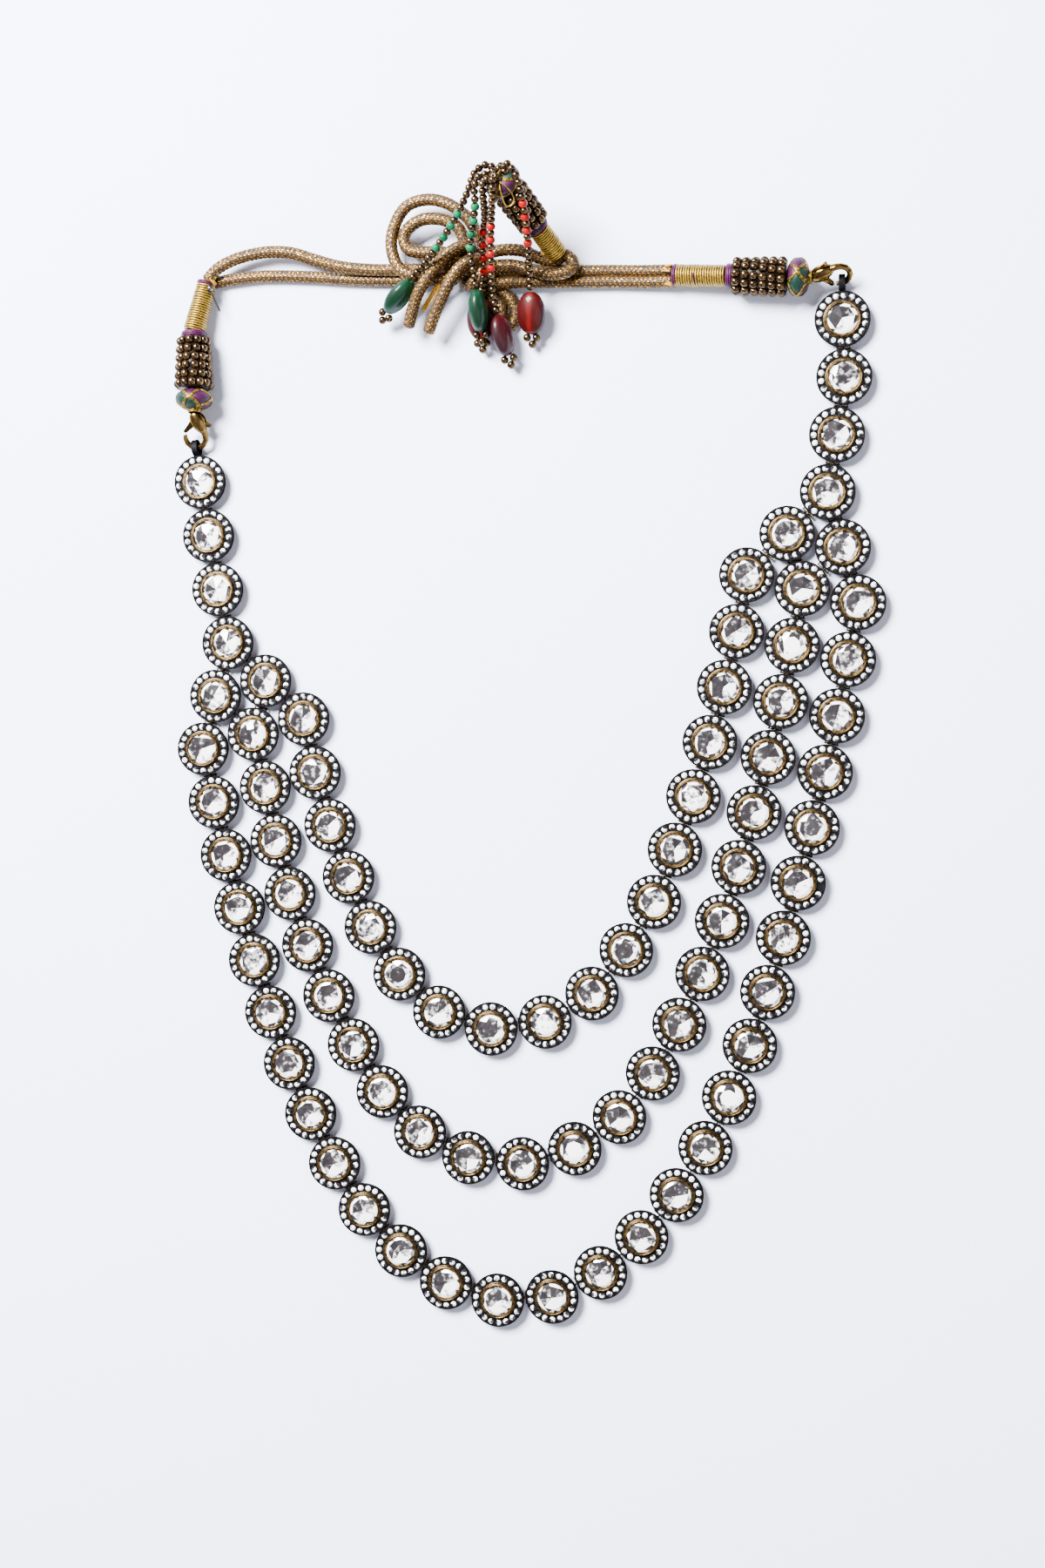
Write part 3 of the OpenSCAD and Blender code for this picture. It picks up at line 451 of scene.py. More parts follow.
def knitted(line, run, diameter, stitch, wales):
    """A tube of V stitches along a line, its ends rounded, and how high each point stands, 0 to 1."""
    # Points across one column of stitches, how far a stitch stands out, how far its legs lean back
    # as a share of its length, and how high the lowest stitch lies over the table
    per, depth, lean, clear = 6, 0.24, 0.7, 0.02
    sides = wales * per
    place = (np.arange(sides) % per) / per
    leg = np.sin(math.tau * place) ** 2
    slant = np.abs(2 * place - 1)
    step = 0.5 * (np.arange(sides) // per % 2)
    wave = 0.5 + 0.5 * np.cos(math.tau * (run[:, None] / stitch + (lean * slant + step)[None]))
    high = (0.2 + 0.8 * leg[None]) * (0.1 + 0.9 * wave)
    near_end = np.minimum(run, run[-1] - run) / (diameter * 0.35)
    rounded = np.sqrt(np.clip(1 - (1 - np.clip(near_end, 0, 1)) ** 2, 0.04, 1))
    radius = (diameter / 2 - 0.02 + depth * high) * rounded[:, None]
    points, faces = loft(line[:, None] + radius[..., None] * spokes(line, sides))
    points[:, 2] = np.maximum(points[:, 2], clear)
    return (points, faces), high.reshape(-1)


def piece(name, part, look, smooth=True, points=None, faces=None):
    """One mesh piece in metres with its finish and slot; points and faces hold named values."""
    mesh = bpy.data.meshes.new(name)
    mesh.from_pydata((np.asarray(part[0]) * MM).tolist(), [], part[1])
    mesh.polygons.foreach_set("use_smooth", [smooth] * len(mesh.polygons))
    for domain, values in (("POINT", points or {}), ("FACE", faces or {})):
        for key, numbers in values.items():
            layer = mesh.attributes.new(key, "FLOAT", domain)
            layer.data.foreach_set("value", np.asarray(numbers, np.float32))
    mesh.update()
    thing = bpy.data.objects.new(name, mesh)
    bpy.context.scene.collection.objects.link(thing)
    thing.data.materials.append(finish(look))
    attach(thing, NECKLACE)
    return thing


def thread(name, part, look, high):
    """A piece of plain thread, all of it standing as high as that, 0 to 1, which sets its place between its
    finish's painted shade and painted highlight.
    """
    return piece(name, part, look, points={"high": np.full(len(part[0]), high)})


def dress(node, look):
    """Gives a kept solid of the model its finish."""
    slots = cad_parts[node].data.materials
    slots.clear()
    slots.append(finish(look))


def setting_centres(row):
    """Middles of a row's settings in millimetres, read from its main stones."""
    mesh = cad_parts["stones_" + row].data
    corners = np.array([v.co for v in mesh.vertices]) / MM
    merged, back = np.unique(np.round(corners, 3), axis=0, return_inverse=True)
    back = np.asarray(back).reshape(-1)
    # Corners that edges join belong to one stone
    parent = list(range(len(merged)))

    def root(i):
        while parent[i] != i:
            parent[i] = parent[parent[i]]
            i = parent[i]
        return i

    for edge in mesh.edges:
        first, second = edge.vertices
        parent[root(back[first])] = root(back[second])
    stones = {}
    for i, corner in enumerate(merged):
        stones.setdefault(root(i), []).append(corner)
    centres = []
    for stone in stones.values():
        stone = np.array(stone)
        girdle = stone[np.abs(stone[:, 2] - GIRDLE_TOP) < 0.02]
        centres.append(girdle.mean(axis=0)[:2])
    return sorted((tuple(c) for c in centres), key=lambda c: (round(-c[1], 2), c[0]))


# Finishes

def add_node(tree, kind, inputs=None, stops=None, **settings):
    """Adds a node with its settings, its inputs as numbers or links, and its colour stops."""
    node = tree.nodes.new(kind)
    for key, value in settings.items():
        setattr(node, key, value)
    for key, value in (inputs or {}).items():
        if isinstance(value, bpy.types.NodeSocket):
            tree.links.new(value, node.inputs[key])
        else:
            node.inputs[key].default_value = value
    if stops:
        ramp = node.color_ramp
        while len(ramp.elements) < len(stops):
            ramp.elements.new(1.0)
        for element, (place, colour) in zip(ramp.elements, stops):
            element.position = place
            element.color = colour
    return node


def start(name):
    """A new material, its emptied node tree, and the place on the object that its patterns follow."""
    material = bpy.data.materials.new(name)
    material.use_nodes = True
    tree = material.node_tree
    tree.nodes.clear()
    return material, tree, add_node(tree, "ShaderNodeTexCoord").outputs["Object"]


def shade(colour, share):
    """The colour made darker or lighter by a share."""
    return (*(min(1.0, c * share) for c in colour[:3]), 1.0)


def black_rhodium_and_gilt(colours):
    """Cast silver under black rhodium with gilt bezels, galleries and links, and dark bails.
    Tarnish gathers as cloudy patches, and the cast skin is faintly pitted."""
    material, tree, place = start("black_rhodium_and_gilt")
    # Gilt below the plate and above it, but not round the bails
    height = add_node(tree, "ShaderNodeSeparateXYZ", {0: place}).outputs["Z"]
    under, over = (PLATE_Z - 0.08) * MM, (PLATE_TOP + 0.06) * MM
    low = add_node(tree, "ShaderNodeMath", {0: height, 1: under}, operation="LESS_THAN")
    high = add_node(tree, "ShaderNodeMath", {0: height, 1: over}, operation="GREATER_THAN")
    gilt = add_node(tree, "ShaderNodeMath", {0: low.outputs[0], 1: high.outputs[0]}, operation="MAXIMUM")
    for bail in BAILS:
        middle = [v * MM for v in bail]
        reach = add_node(tree, "ShaderNodeVectorMath", {0: place, 1: middle}, operation="DISTANCE")
        clear = add_node(tree, "ShaderNodeMath", {0: reach.outputs["Value"], 1: BAIL_REACH * MM},
                         operation="GREATER_THAN")
        gilt = add_node(tree, "ShaderNodeMath", {0: gilt.outputs[0], 1: clear.outputs[0]},
                        operation="MINIMUM")
    # Tarnish gathers in patches about 0.8 mm across
    cloud = add_node(tree, "ShaderNodeTexNoise", {"Vector": place, "Scale": 1 / (0.8 * MM), "Detail": 4.0})
    dark = add_node(tree, "ShaderNodeValToRGB", {"Fac": cloud.outputs["Fac"]},
                    stops=[(0.3, shade(colours.rhodium, 0.4)), (0.62, colours.rhodium),
                           (0.8, shade(colours.rhodium, 4))])
    warm = add_node(tree, "ShaderNodeValToRGB", {"Fac": cloud.outputs["Fac"]},
                    stops=[(0.36, shade(colours.gilt, 0.2)), (0.5, colours.gilt),
                           (0.66, shade(colours.gilt, 2.2))])
    # Inputs 6 and 7 of a mix node are its two colours
    mixed = add_node(tree, "ShaderNodeMix",
                     {"Factor": gilt.outputs[0], 6: dark.outputs[0], 7: warm.outputs[0]}, data_type="RGBA")
    colour = mixed.outputs[2]
    rough = add_node(tree, "ShaderNodeMapRange",
                     {"Value": cloud.outputs["Fac"], "To Min": 0.52, "To Max": 0.8})
    # The gilt parts are burnished, the black ones left satin
    satin = add_node(tree, "ShaderNodeMath", {0: gilt.outputs[0], 1: -0.3, 2: rough.outputs[0]},
                     operation="MULTIPLY_ADD")
    pits = add_node(tree, "ShaderNodeTexNoise", {"Vector": place, "Scale": 1 / (0.16 * MM), "Detail": 2.0})
    bump = add_node(tree, "ShaderNodeBump",
                    {"Height": pits.outputs["Fac"], "Strength": 0.25, "Distance": 0.03 * MM})
    shader = add_node(tree, "ShaderNodeBsdfPrincipled", {
        "Base Color": colour, "Metallic": 1.0, "Roughness": satin.outputs[0], "Specular Tint": colour,
        "Normal": bump.outputs[0]})
    add_node(tree, "ShaderNodeOutputMaterial", {"Surface": shader.outputs["BSDF"]})
    return material


def cast_metal(name, colour, grain, rough, worn=1.8):
    """Cast and tumbled metal: darker in its hollows, paler where it is rubbed."""
    material, tree, place = start(name)
    noise = add_node(tree, "ShaderNodeTexNoise",
                     {"Vector": place, "Scale": 1 / (grain * MM), "Detail": 5.0})
    cloud = noise.outputs["Fac"]
    ramp = add_node(tree, "ShaderNodeValToRGB", {"Fac": cloud},
                    stops=[(0.3, shade(colour, 0.35)), (0.52, colour), (0.78, shade(colour, worn))])
    tone = ramp.outputs[0]
    spread = add_node(tree, "ShaderNodeMapRange",
                      {"Value": cloud, "To Min": rough * 0.7, "To Max": rough * 1.5})
    bump = add_node(tree, "ShaderNodeBump", {"Height": cloud, "Strength": 0.3, "Distance": 0.04 * MM})
    shader = add_node(tree, "ShaderNodeBsdfPrincipled", {
        "Base Color": tone, "Metallic": 1.0, "Roughness": spread.outputs[0], "Specular Tint": tone,
        "Normal": bump.outputs[0]})
    add_node(tree, "ShaderNodeOutputMaterial", {"Surface": shader.outputs["BSDF"]})
    return material


def foil_backed_glass(name, colours, bright):
    """Polished glass over silver foil, the foil's reflection painted: every facet shows its own patch of
    painted light or painted shade.
    """
    material, tree, place = start(name)
    tone = add_node(tree, "ShaderNodeAttribute", attribute_name="tone").outputs["Fac"]
    # Random patches 1.3 mm across that shift each facet's painted light, like creases of the foil, drawn at
    # that size so that they show
    crease = add_node(tree, "ShaderNodeTexNoise", {"Vector": place, "Scale": 1 / (1.3 * MM), "Detail": 4.0})
    spread = add_node(tree, "ShaderNodeMath", {0: crease.outputs["Fac"], 1: 1.5, 2: -0.77},
                      operation="MULTIPLY_ADD")
    mixed = add_node(tree, "ShaderNodeMath", {0: tone, 1: spread.outputs[0]}, operation="ADD",
                     use_clamp=True)
    # The facets' tones paint the foil's reflection, from painted shade to painted highlight
    colour = add_node(tree, "ShaderNodeValToRGB", {"Fac": mixed.outputs[0]}, stops=[
        (0.02, shade(colours.foil_painted_shade, 0.5)), (0.3, colours.foil_painted_shade),
        (0.52, shade(colours.foil_painted_light, 0.36)), (bright, colours.foil_painted_light)])
    shader = add_node(tree, "ShaderNodeBsdfPrincipled", {
        "Base Color": colour.outputs[0], "Metallic": 0.08, "Roughness": 0.09, "Coat Weight": 1.0,
        "Coat Roughness": 0.02})
    add_node(tree, "ShaderNodeOutputMaterial", {"Surface": shader.outputs["BSDF"]})
    return material


def knitted_zari(colours):
    """Knitted metal-wrapped thread: flat wire on the crests under a painted highlight, brown silk core in
    the gaps under painted shade.
    """
    material, tree, place = start("knitted_zari")
    high = add_node(tree, "ShaderNodeAttribute", attribute_name="high").outputs["Fac"]
    # Painted glints of the flat wire, 0.4 mm long, where it turns over the core
    noise = add_node(tree, "ShaderNodeTexNoise",
                     {"Vector": place, "Scale": 1 / (0.4 * MM), "Detail": 2.0, "Roughness": 0.7})
    glint = noise.outputs["Fac"]
    lift = add_node(tree, "ShaderNodeMath", {0: glint, 1: 3.6, 2: -1.84}, operation="MULTIPLY_ADD")
    mixed = add_node(tree, "ShaderNodeMath", {0: high, 1: lift.outputs[0]}, operation="ADD", use_clamp=True)
    # Painted light by the stitches' height: painted shade in the gaps, painted highlight on the crests,
    # painted glints added at random
    colour = add_node(tree, "ShaderNodeValToRGB", {"Fac": mixed.outputs[0]}, stops=[
        (0.08, colours.zari_core_and_painted_shade), (0.34, shade(colours.zari, 0.4)), (0.6, colours.zari),
        (0.9, colours.zari_painted_highlight)])
    rough = add_node(tree, "ShaderNodeMapRange", {"Value": mixed.outputs[0], "To Min": 0.7, "To Max": 0.3})
    metal = add_node(tree, "ShaderNodeMapRange", {"Value": mixed.outputs[0], "To Min": 0.3, "To Max": 0.9})
    bump = add_node(tree, "ShaderNodeBump", {"Height": glint, "Strength": 0.6, "Distance": 0.1 * MM})
    shader = add_node(tree, "ShaderNodeBsdfPrincipled", {
        "Base Color": colour.outputs[0], "Metallic": metal.outputs[0], "Roughness": rough.outputs[0],
        "Normal": bump.outputs[0]})
    add_node(tree, "ShaderNodeOutputMaterial", {"Surface": shader.outputs["BSDF"]})
    return material


def wound_thread(name, light, body, dark, metallic):
    """Thread laid turn by turn: a painted highlight on each turn's crest, painted shade between turns,
    uneven in dye.
    """
    material, tree, place = start(name)
    high = add_node(tree, "ShaderNodeAttribute", attribute_name="high").outputs["Fac"]
    noise = add_node(tree, "ShaderNodeTexNoise", {"Vector": place, "Scale": 1 / (0.5 * MM), "Detail": 4.0})
    fibre = noise.outputs["Fac"]
    lift = add_node(tree, "ShaderNodeMath", {0: fibre, 1: 1.6, 2: -0.8}, operation="MULTIPLY_ADD")
    mixed = add_node(tree, "ShaderNodeMath", {0: high, 1: lift.outputs[0]}, operation="ADD", use_clamp=True)
    # The light colour is a painted highlight and the dark one painted shade, the body the thread's own
    # colour
    colour = add_node(tree, "ShaderNodeValToRGB", {"Fac": mixed.outputs[0]},
                      stops=[(0.08, dark), (0.45, body), (0.9, light)])
    bump = add_node(tree, "ShaderNodeBump", {"Height": fibre, "Strength": 0.4, "Distance": 0.05 * MM})
    shader = add_node(tree, "ShaderNodeBsdfPrincipled", {
        "Base Color": colour.outputs[0], "Metallic": metallic, "Roughness": 0.42,
        "Specular IOR Level": 0.15, "Normal": bump.outputs[0]})
    add_node(tree, "ShaderNodeOutputMaterial", {"Surface": shader.outputs["BSDF"]})
    return material


def knob_silk(colours):
    """Floss silk laid in green and purple patches, with the soft shine of untwisted floss."""
    material, tree, place = start("knob_silk")
    patch = add_node(tree, "ShaderNodeAttribute", attribute_name="patch").outputs["Fac"]
    noise = add_node(tree, "ShaderNodeTexNoise", {"Vector": place, "Scale": 1 / (0.4 * MM), "Detail": 4.0})
    fibre = noise.outputs["Fac"]
    dye = add_node(tree, "ShaderNodeMix", {"Factor": patch, 6: colours.bottle, 7: colours.purple},
                   data_type="RGBA")
    shine = add_node(tree, "ShaderNodeMapRange",
                     {"Value": fibre, "From Min": 0.3, "From Max": 0.7, "To Min": 0.4, "To Max": 1.6})
    colour = add_node(tree, "ShaderNodeVectorMath", {0: dye.outputs[2], "Scale": shine.outputs[0]},
                      operation="SCALE")
    bump = add_node(tree, "ShaderNodeBump", {"Height": fibre, "Strength": 0.5, "Distance": 0.08 * MM})
    shader = add_node(tree, "ShaderNodeBsdfPrincipled", {
        "Base Color": colour.outputs[0], "Roughness": 0.5, "Specular IOR Level": 0.2,
        "Normal": bump.outputs[0]})
    add_node(tree, "ShaderNodeOutputMaterial", {"Surface": shader.outputs["BSDF"]})
    return material


def lustre_glass(name, colour, metallic):
    """Fire-polished glass, clear or under a metal lustre, uneven in colour, its rim as deep as its face."""
    material, tree, place = start(name)
    cloud = add_node(tree, "ShaderNodeTexNoise", {"Vector": place, "Scale": 1 / (2.2 * MM), "Detail": 3.0})
    ramp = add_node(tree, "ShaderNodeValToRGB", {"Fac": cloud.outputs["Fac"]},
                    stops=[(0.3, shade(colour, 0.5)), (0.52, colour), (0.75, shade(colour, 1.5))])
    tone = ramp.outputs[0]
    shader = add_node(tree, "ShaderNodeBsdfPrincipled", {
        "Base Color": tone, "Metallic": metallic, "Roughness": 0.2, "Specular IOR Level": 0.1,
        "Specular Tint": tone, "Coat Weight": 0.2, "Coat Roughness": 0.03})
    add_node(tree, "ShaderNodeOutputMaterial", {"Surface": shader.outputs["BSDF"]})
    return material


def pressed_glass_painted_light(name, edge, body, painted_middle_light):
    """Pressed and polished glass, deepened by painted shade at its edges, with a paler band of painted
    light along its middle.
    """
    material, tree, place = start(name)
    middle = add_node(tree, "ShaderNodeAttribute", attribute_name="middle").outputs["Fac"]
    drift = add_node(tree, "ShaderNodeTexNoise", {"Vector": place, "Scale": 1 / (4 * MM), "Detail": 1.0})
    lift = add_node(tree, "ShaderNodeMath", {0: drift.outputs["Fac"], 1: 0.3, 2: -0.15},
                    operation="MULTIPLY_ADD")
    mixed = add_node(tree, "ShaderNodeMath", {0: middle, 1: lift.outputs[0]}, operation="ADD",
                     use_clamp=True)
    # The edge colour is painted shade, and the middle's paler colour is painted light through the glass
    tone = add_node(tree, "ShaderNodeValToRGB", {"Fac": mixed.outputs[0]},
                    stops=[(0.05, edge), (0.4, body), (0.72, shade(body, 0.8)), (0.9, painted_middle_light)])
    shader = add_node(tree, "ShaderNodeBsdfPrincipled", {
        "Base Color": tone.outputs[0], "Roughness": 0.5, "Specular IOR Level": 0.1, "Coat Weight": 0.2,
        "Coat Roughness": 0.03})
    add_node(tree, "ShaderNodeOutputMaterial", {"Surface": shader.outputs["BSDF"]})
    return material


def matt_table(colours):
    """Matt laminate of the table: almost even, with a faint mottling."""
    material, tree, place = start("matt_table")
    cloud = add_node(tree, "ShaderNodeTexNoise", {"Vector": place, "Scale": 1 / (60 * MM), "Detail": 2.0})
    tone = add_node(tree, "ShaderNodeValToRGB", {"Fac": cloud.outputs["Fac"]},
                    stops=[(0.3, shade(colours.table, 0.985)), (0.7, colours.table)])
    shader = add_node(tree, "ShaderNodeBsdfPrincipled", {
        "Base Color": tone.outputs[0], "Roughness": 0.75, "Specular IOR Level": 0.2})
    add_node(tree, "ShaderNodeOutputMaterial", {"Surface": shader.outputs["BSDF"]})
    return material


# Colours that stay as they are: steel, gold thread and the beads' core from painted highlight through their
# own colour to painted shade, and the painted shade at the edges of the red and the dark red ovals
STEEL = linear("#6C6E72")
WOUND_GOLD = [linear(tone) for tone in ("#A4832F", "#42320A", "#0A0802")]
BEAD_CORE = [linear(tone) for tone in ("#1C120B", "#0E0805", "#050302")]
RED_PAINTED_EDGE_SHADE, MAROON_PAINTED_EDGE_SHADE = linear("#24060C"), linear("#1C080E")

# Each finish, made once and kept by its name
FINISHES = {}


def finish(name):
    """The named material, made once from the scene's colours."""
    if name not in FINISHES:
        colours = bpy.context.scene.necklace_colours
        makers = {
            "settings": lambda: black_rhodium_and_gilt(colours),
            "rhodium": lambda: cast_metal("black_rhodium_trim", shade(colours.rhodium, 0.5), grain=0.5,
                                          rough=0.55, worn=1.6),
            "gilt": lambda: cast_metal("antique_gilt", colours.gilt, grain=0.6, rough=0.26),
            "brass": lambda: cast_metal("cast_brass", colours.brass, grain=2.6, rough=0.2, worn=2.2),
            "steel": lambda: cast_metal("drawn_steel", STEEL, grain=0.6, rough=0.24, worn=1.4),
            "polki": lambda: foil_backed_glass("foil_backed_polki", colours, bright=0.66),
            "halo": lambda: foil_backed_glass("foil_backed_chip", colours, bright=0.55),
            "knit": lambda: knitted_zari(colours),
            "winding": lambda: wound_thread("wound_zari", *WOUND_GOLD, metallic=0.8),
            # The silk bands and the cotton are lighter and darker copies of one colour, painted highlight
            # and painted shade
            "band": lambda: wound_thread("purple_silk", shade(colours.purple, 2.1), colours.purple,
                                         shade(colours.purple, 0.2), metallic=0.0),
            "cotton": lambda: wound_thread("yellow_cotton", shade(colours.yellow, 1.5), colours.yellow,
                                           shade(colours.yellow, 0.5), metallic=0.0),
            "core": lambda: wound_thread("brown_core", *BEAD_CORE, metallic=0.0),
            "knob": lambda: knob_silk(colours),
            "bronze": lambda: lustre_glass("bronze_lustre_glass", colours.bronze, metallic=0.95),
            "green": lambda: lustre_glass("green_seed_glass", colours.green, metallic=0.0),
            "red": lambda: lustre_glass("red_seed_glass", colours.red, metallic=0.0),
            "green_oval": lambda: pressed_glass_painted_light("green_pressed_glass", shade(colours.green, 0.12),
                                               shade(colours.green, 0.3), shade(colours.green, 0.7)),
            "red_oval": lambda: pressed_glass_painted_light("red_pressed_glass", RED_PAINTED_EDGE_SHADE, shade(colours.red, 0.12),
                                             shade(colours.red, 0.3)),
            "maroon_oval": lambda: pressed_glass_painted_light("maroon_pressed_glass", MAROON_PAINTED_EDGE_SHADE,
                                                shade(colours.maroon, 0.35), shade(colours.maroon, 0.85)),
            "table": lambda: matt_table(colours),
        }
        FINISHES[name] = makers[name]()
    return FINISHES[name]


# Operators

class NECKLACE_OT_camera(bpy.types.Operator):
    """Hangs the camera over the table, at the height and tilt the necklace is seen from"""

    bl_idname = "necklace.camera"
    bl_label = "Camera"

    def execute(self, context):
        camera = bpy.data.objects.new("camera", bpy.data.cameras.new("camera"))
        context.scene.collection.objects.link(camera)
        camera.data.lens = CAMERA_LENS
        camera.data.sensor_width = CAMERA_SENSOR
        camera.matrix_world = (
            Matrix.Translation(CAMERA_PLACE)
            @ Matrix.Rotation(math.radians(CAMERA_ROLL), 4, "Y")
            @ Matrix.Rotation(math.radians(CAMERA_PITCH), 4, "X")
        )
        context.scene.camera = camera
        return {"FINISHED"}


class NECKLACE_OT_cords(bpy.types.Operator):
    """Knits the gold cord: its four runs, the bow, the tassel's cord, the low loop and the knot"""

    bl_idname = "necklace.cords"
    bl_label = "Knitted cord"

    def execute(self, context):
        sizes = context.scene.necklace_sizes
        d, stitch = sizes.cord_d / MM, sizes.stitch / MM
        # Rings of points along one stitch
        steps = 5
        line, run = smooth_line(KNOT_LUMP, 0.3)
        bodies = [knitted(line, run, KNOT_D, stitch, sizes.wales * 2)]
        for wrap in KNOT_WRAPS:
            line, run = smooth_line(wrap, stitch / steps)
            bodies.append(knitted(line, run, d, stitch, sizes.wales))
        knot = piece("knot", joined([body for body, _ in bodies]), "knit",
                     points={"high": np.concatenate([high for _, high in bodies])})
        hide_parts("cord_knot")
        cords = [
            ("cord_right_upper", RIGHT_UPPER, ["cord_right_upper"], "knot"),
            ("cord_right_lower", RIGHT_LOWER, ["cord_right_lower"], "knot"),
            ("cord_left_upper", LEFT_UPPER, ["cord_left_upper"], "knot"),
            ("cord_left_lower", LEFT_LOWER, ["cord_left_lower"], "knot"),
            ("cord_bow_outer", BOW_OUTER, ["cord_loop_outer", "cord_end_left"], "bare"),
            ("cord_bow_inner", BOW_INNER, ["cord_loop_inner", "cord_end_right"], "bare"),
            ("cord_tassel", TASSEL_CORD, ["cord_tassel_hump", "cord_tassel_turn"], "object"),
            ("cord_low_loop", LOW_LOOP, ["cord_low_loop"], "object"),
        ]
        for name, route, nodes, far in cords:
            line, run = smooth_line(np.array(route) / MM, stitch / steps)
            body, high = knitted(line, run, d, stitch, sizes.wales)
            made = piece(name + "_knit", body, "knit", points={"high": high})
            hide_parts(*nodes)
        return {"FINISHED"}


class NECKLACE_OT_settings(bpy.types.Operator):
    """Sets the halo of small stones with its prong beads, the milgrain and rim, and the gallery's posts"""

    bl_idname = "necklace.settings"
    bl_label = "Settings"

    def execute(self, context):
        sizes = context.scene.necklace_sizes
        rows = {row: setting_centres(row) for row in ROWS}
        everywhere = [c for row in rows.values() for c in row]
        if len(everywhere) < len(ROWS):
            raise RuntimeError("the settings' centres weren't found")
        count = sizes.halo_count
        chip = halo_chip(sizes.halo_d / MM)
        prong = prong_bead(sizes.prong_d / MM)
        post_r = sizes.post_d / MM / 2
        post = turned([(post_r, BACK_TOP - 0.05), (post_r, PLATE_Z + 0.05)], 8)
        grains = int(round(math.tau * BEZEL_R / (sizes.milgrain / MM)))
        milgrain = grain_ring(BEZEL_R - 0.1, BEZEL_TOP - 0.13, 0.2, grains)
        girdle = hoop(BEZEL_R + 0.12, PLATE_TOP + 0.12, 0.16, 40)
        rim = hoop(PLATE_R - 0.12, PLATE_TOP - 0.02, 0.14, 56)
        # How far a small stone may tip to either side, in radians
        tip = 0.16
        rng = random.Random(7)
        for row, centres in rows.items():
            dress("settings_" + row, "settings")
            chips, prongs, posts, painted_tones = [], [], [], []
            for x, y in centres:
                turn = rng.random() * math.tau / count
                for a in turn + circle(count):
                    px, py = beside(x, y, HALO_R, a)
                    if math.dist((px, py), LOST_STONE) > LOST_REACH:
                        lean = Matrix.Rotation(rng.uniform(-tip, tip), 4, "X") @ Matrix.Rotation(
                            rng.uniform(-tip, tip), 4, "Y")
                        chips.append(at(px, py, PLATE_TOP + 0.12, rng.random() * 3) @ lean)
                        # Painted shade falls on a chip more often at the lower right of its setting, away
                        # from the window lamp
                        painted_tones.append(painted_chip_reflection(chip, 0.7 - 0.4 * math.cos(a - 2.2), rng))
                    for r in (HALO_R - PRONG_IN, HALO_R + PRONG_OUT):
                        prongs.append(at(*beside(x, y, r, a + math.pi / count), PLATE_TOP + 0.02))
                near = [c for c in everywhere if 1 < math.dist(c, (x, y)) < LINK_REACH]
                ways = [math.atan2(c[1] - y, c[0] - x) for c in near]
                for a in circle(POSTS) + 0.1:
                    if all(abs(math.remainder(a - way, math.tau)) > LINK_CLEAR for way in ways):
                        posts.append(at(*beside(x, y, GALLERY_R + 0.16, a)))
            middles = [at(x, y) for x, y in centres]
            piece("halo_" + row, repeated(chip, chips), "halo", smooth=False,
                  faces={"tone": np.concatenate(painted_tones)})
            piece("prongs_" + row, repeated(prong, prongs), "rhodium")
            piece("rims_" + row, repeated(rim, middles), "rhodium")
            piece("milgrain_" + row, repeated(joined([milgrain, girdle]), middles), "gilt")
            piece("gallery_" + row, repeated(post, posts), "gilt")
        return {"FINISHED"}


def prong_bead(diameter):
    """A bead raised from the plate to hold two small stones: a low dome with its flat side down."""
    # Radius and height of each step as shares of the diameter
    dome = [(0.5, 0), (0.46, 0.2), (0.3, 0.4), (0.08, 0.48)]
    return turned([(r * diameter, z * diameter) for r, z in dome], 7)


def grain_ring(radius, height, grain, count):
    """A ring of small grains in one closed bead, round and narrow by turns."""
    rings = []
    for i in range(count * 2):
        swell = grain * (1.0 if i % 2 == 0 else 0.62)
        profile = [(radius + swell * math.cos(b), height + swell * math.sin(b)) for b in -circle(6)]
        rings.append([polar(r, i * math.pi / count, z) for r, z in profile])
    return loft(rings, closed=True)


def facet_rings(rows, back):
    """A cut stone from rings of (radius, height, count, half step), each joined to the next,
    closed behind by rings of (radius, height) with the last ring's count."""
    points, faces, starts = [], [], []
    for r, z, n, half in rows:
        starts.append(len(points))
        points.extend(polar(r, (i + 0.5 * half) * math.tau / n, z) for i in range(n))
    for (s0, (_, _, n0, h0)), (s1, (_, _, n1, h1)) in zip(zip(starts, rows), zip(starts[1:], rows[1:])):
        i = j = 0
        while i < n0 or j < n1:
            inner_next = (i + 1 + 0.5 * h0) / n0
            outer_next = (j + 1 + 0.5 * h1) / n1
            if j >= n1 or (i < n0 and inner_next <= outer_next + 1e-9):
                faces.append([s0 + i % n0, s1 + j % n1, s0 + (i + 1) % n0])
                i += 1
            else:
                faces.append([s0 + i % n0, s1 + j % n1, s1 + (j + 1) % n1])
                j += 1
    faces.append([starts[0] + i for i in range(rows[0][2])])
    girdle_r, n = rows[-1][0], rows[-1][2]
    girdle = points[starts[-1]:]
    previous = starts[-1]
    for r, z in back:
        this = len(points)
        points.extend((r * x / girdle_r, r * y / girdle_r, z) for x, y, _ in girdle)
        for i in range(n):
            faces.append([previous + i, this + i, this + (i + 1) % n, previous + (i + 1) % n])
        previous = this
    faces.append([previous + i for i in range(n)][::-1])
    return np.array(points, float), faces


def halo_chip(d):
    """A small six-sided stone cut to a low point, its girdle at z 0."""
    r = d / 2
    return facet_rings([(0.02, 0.4, 3, 0), (r * 0.55, 0.34, 6, 0), (r, 0.04, 8, 1)], [(r * 0.9, -0.1)])


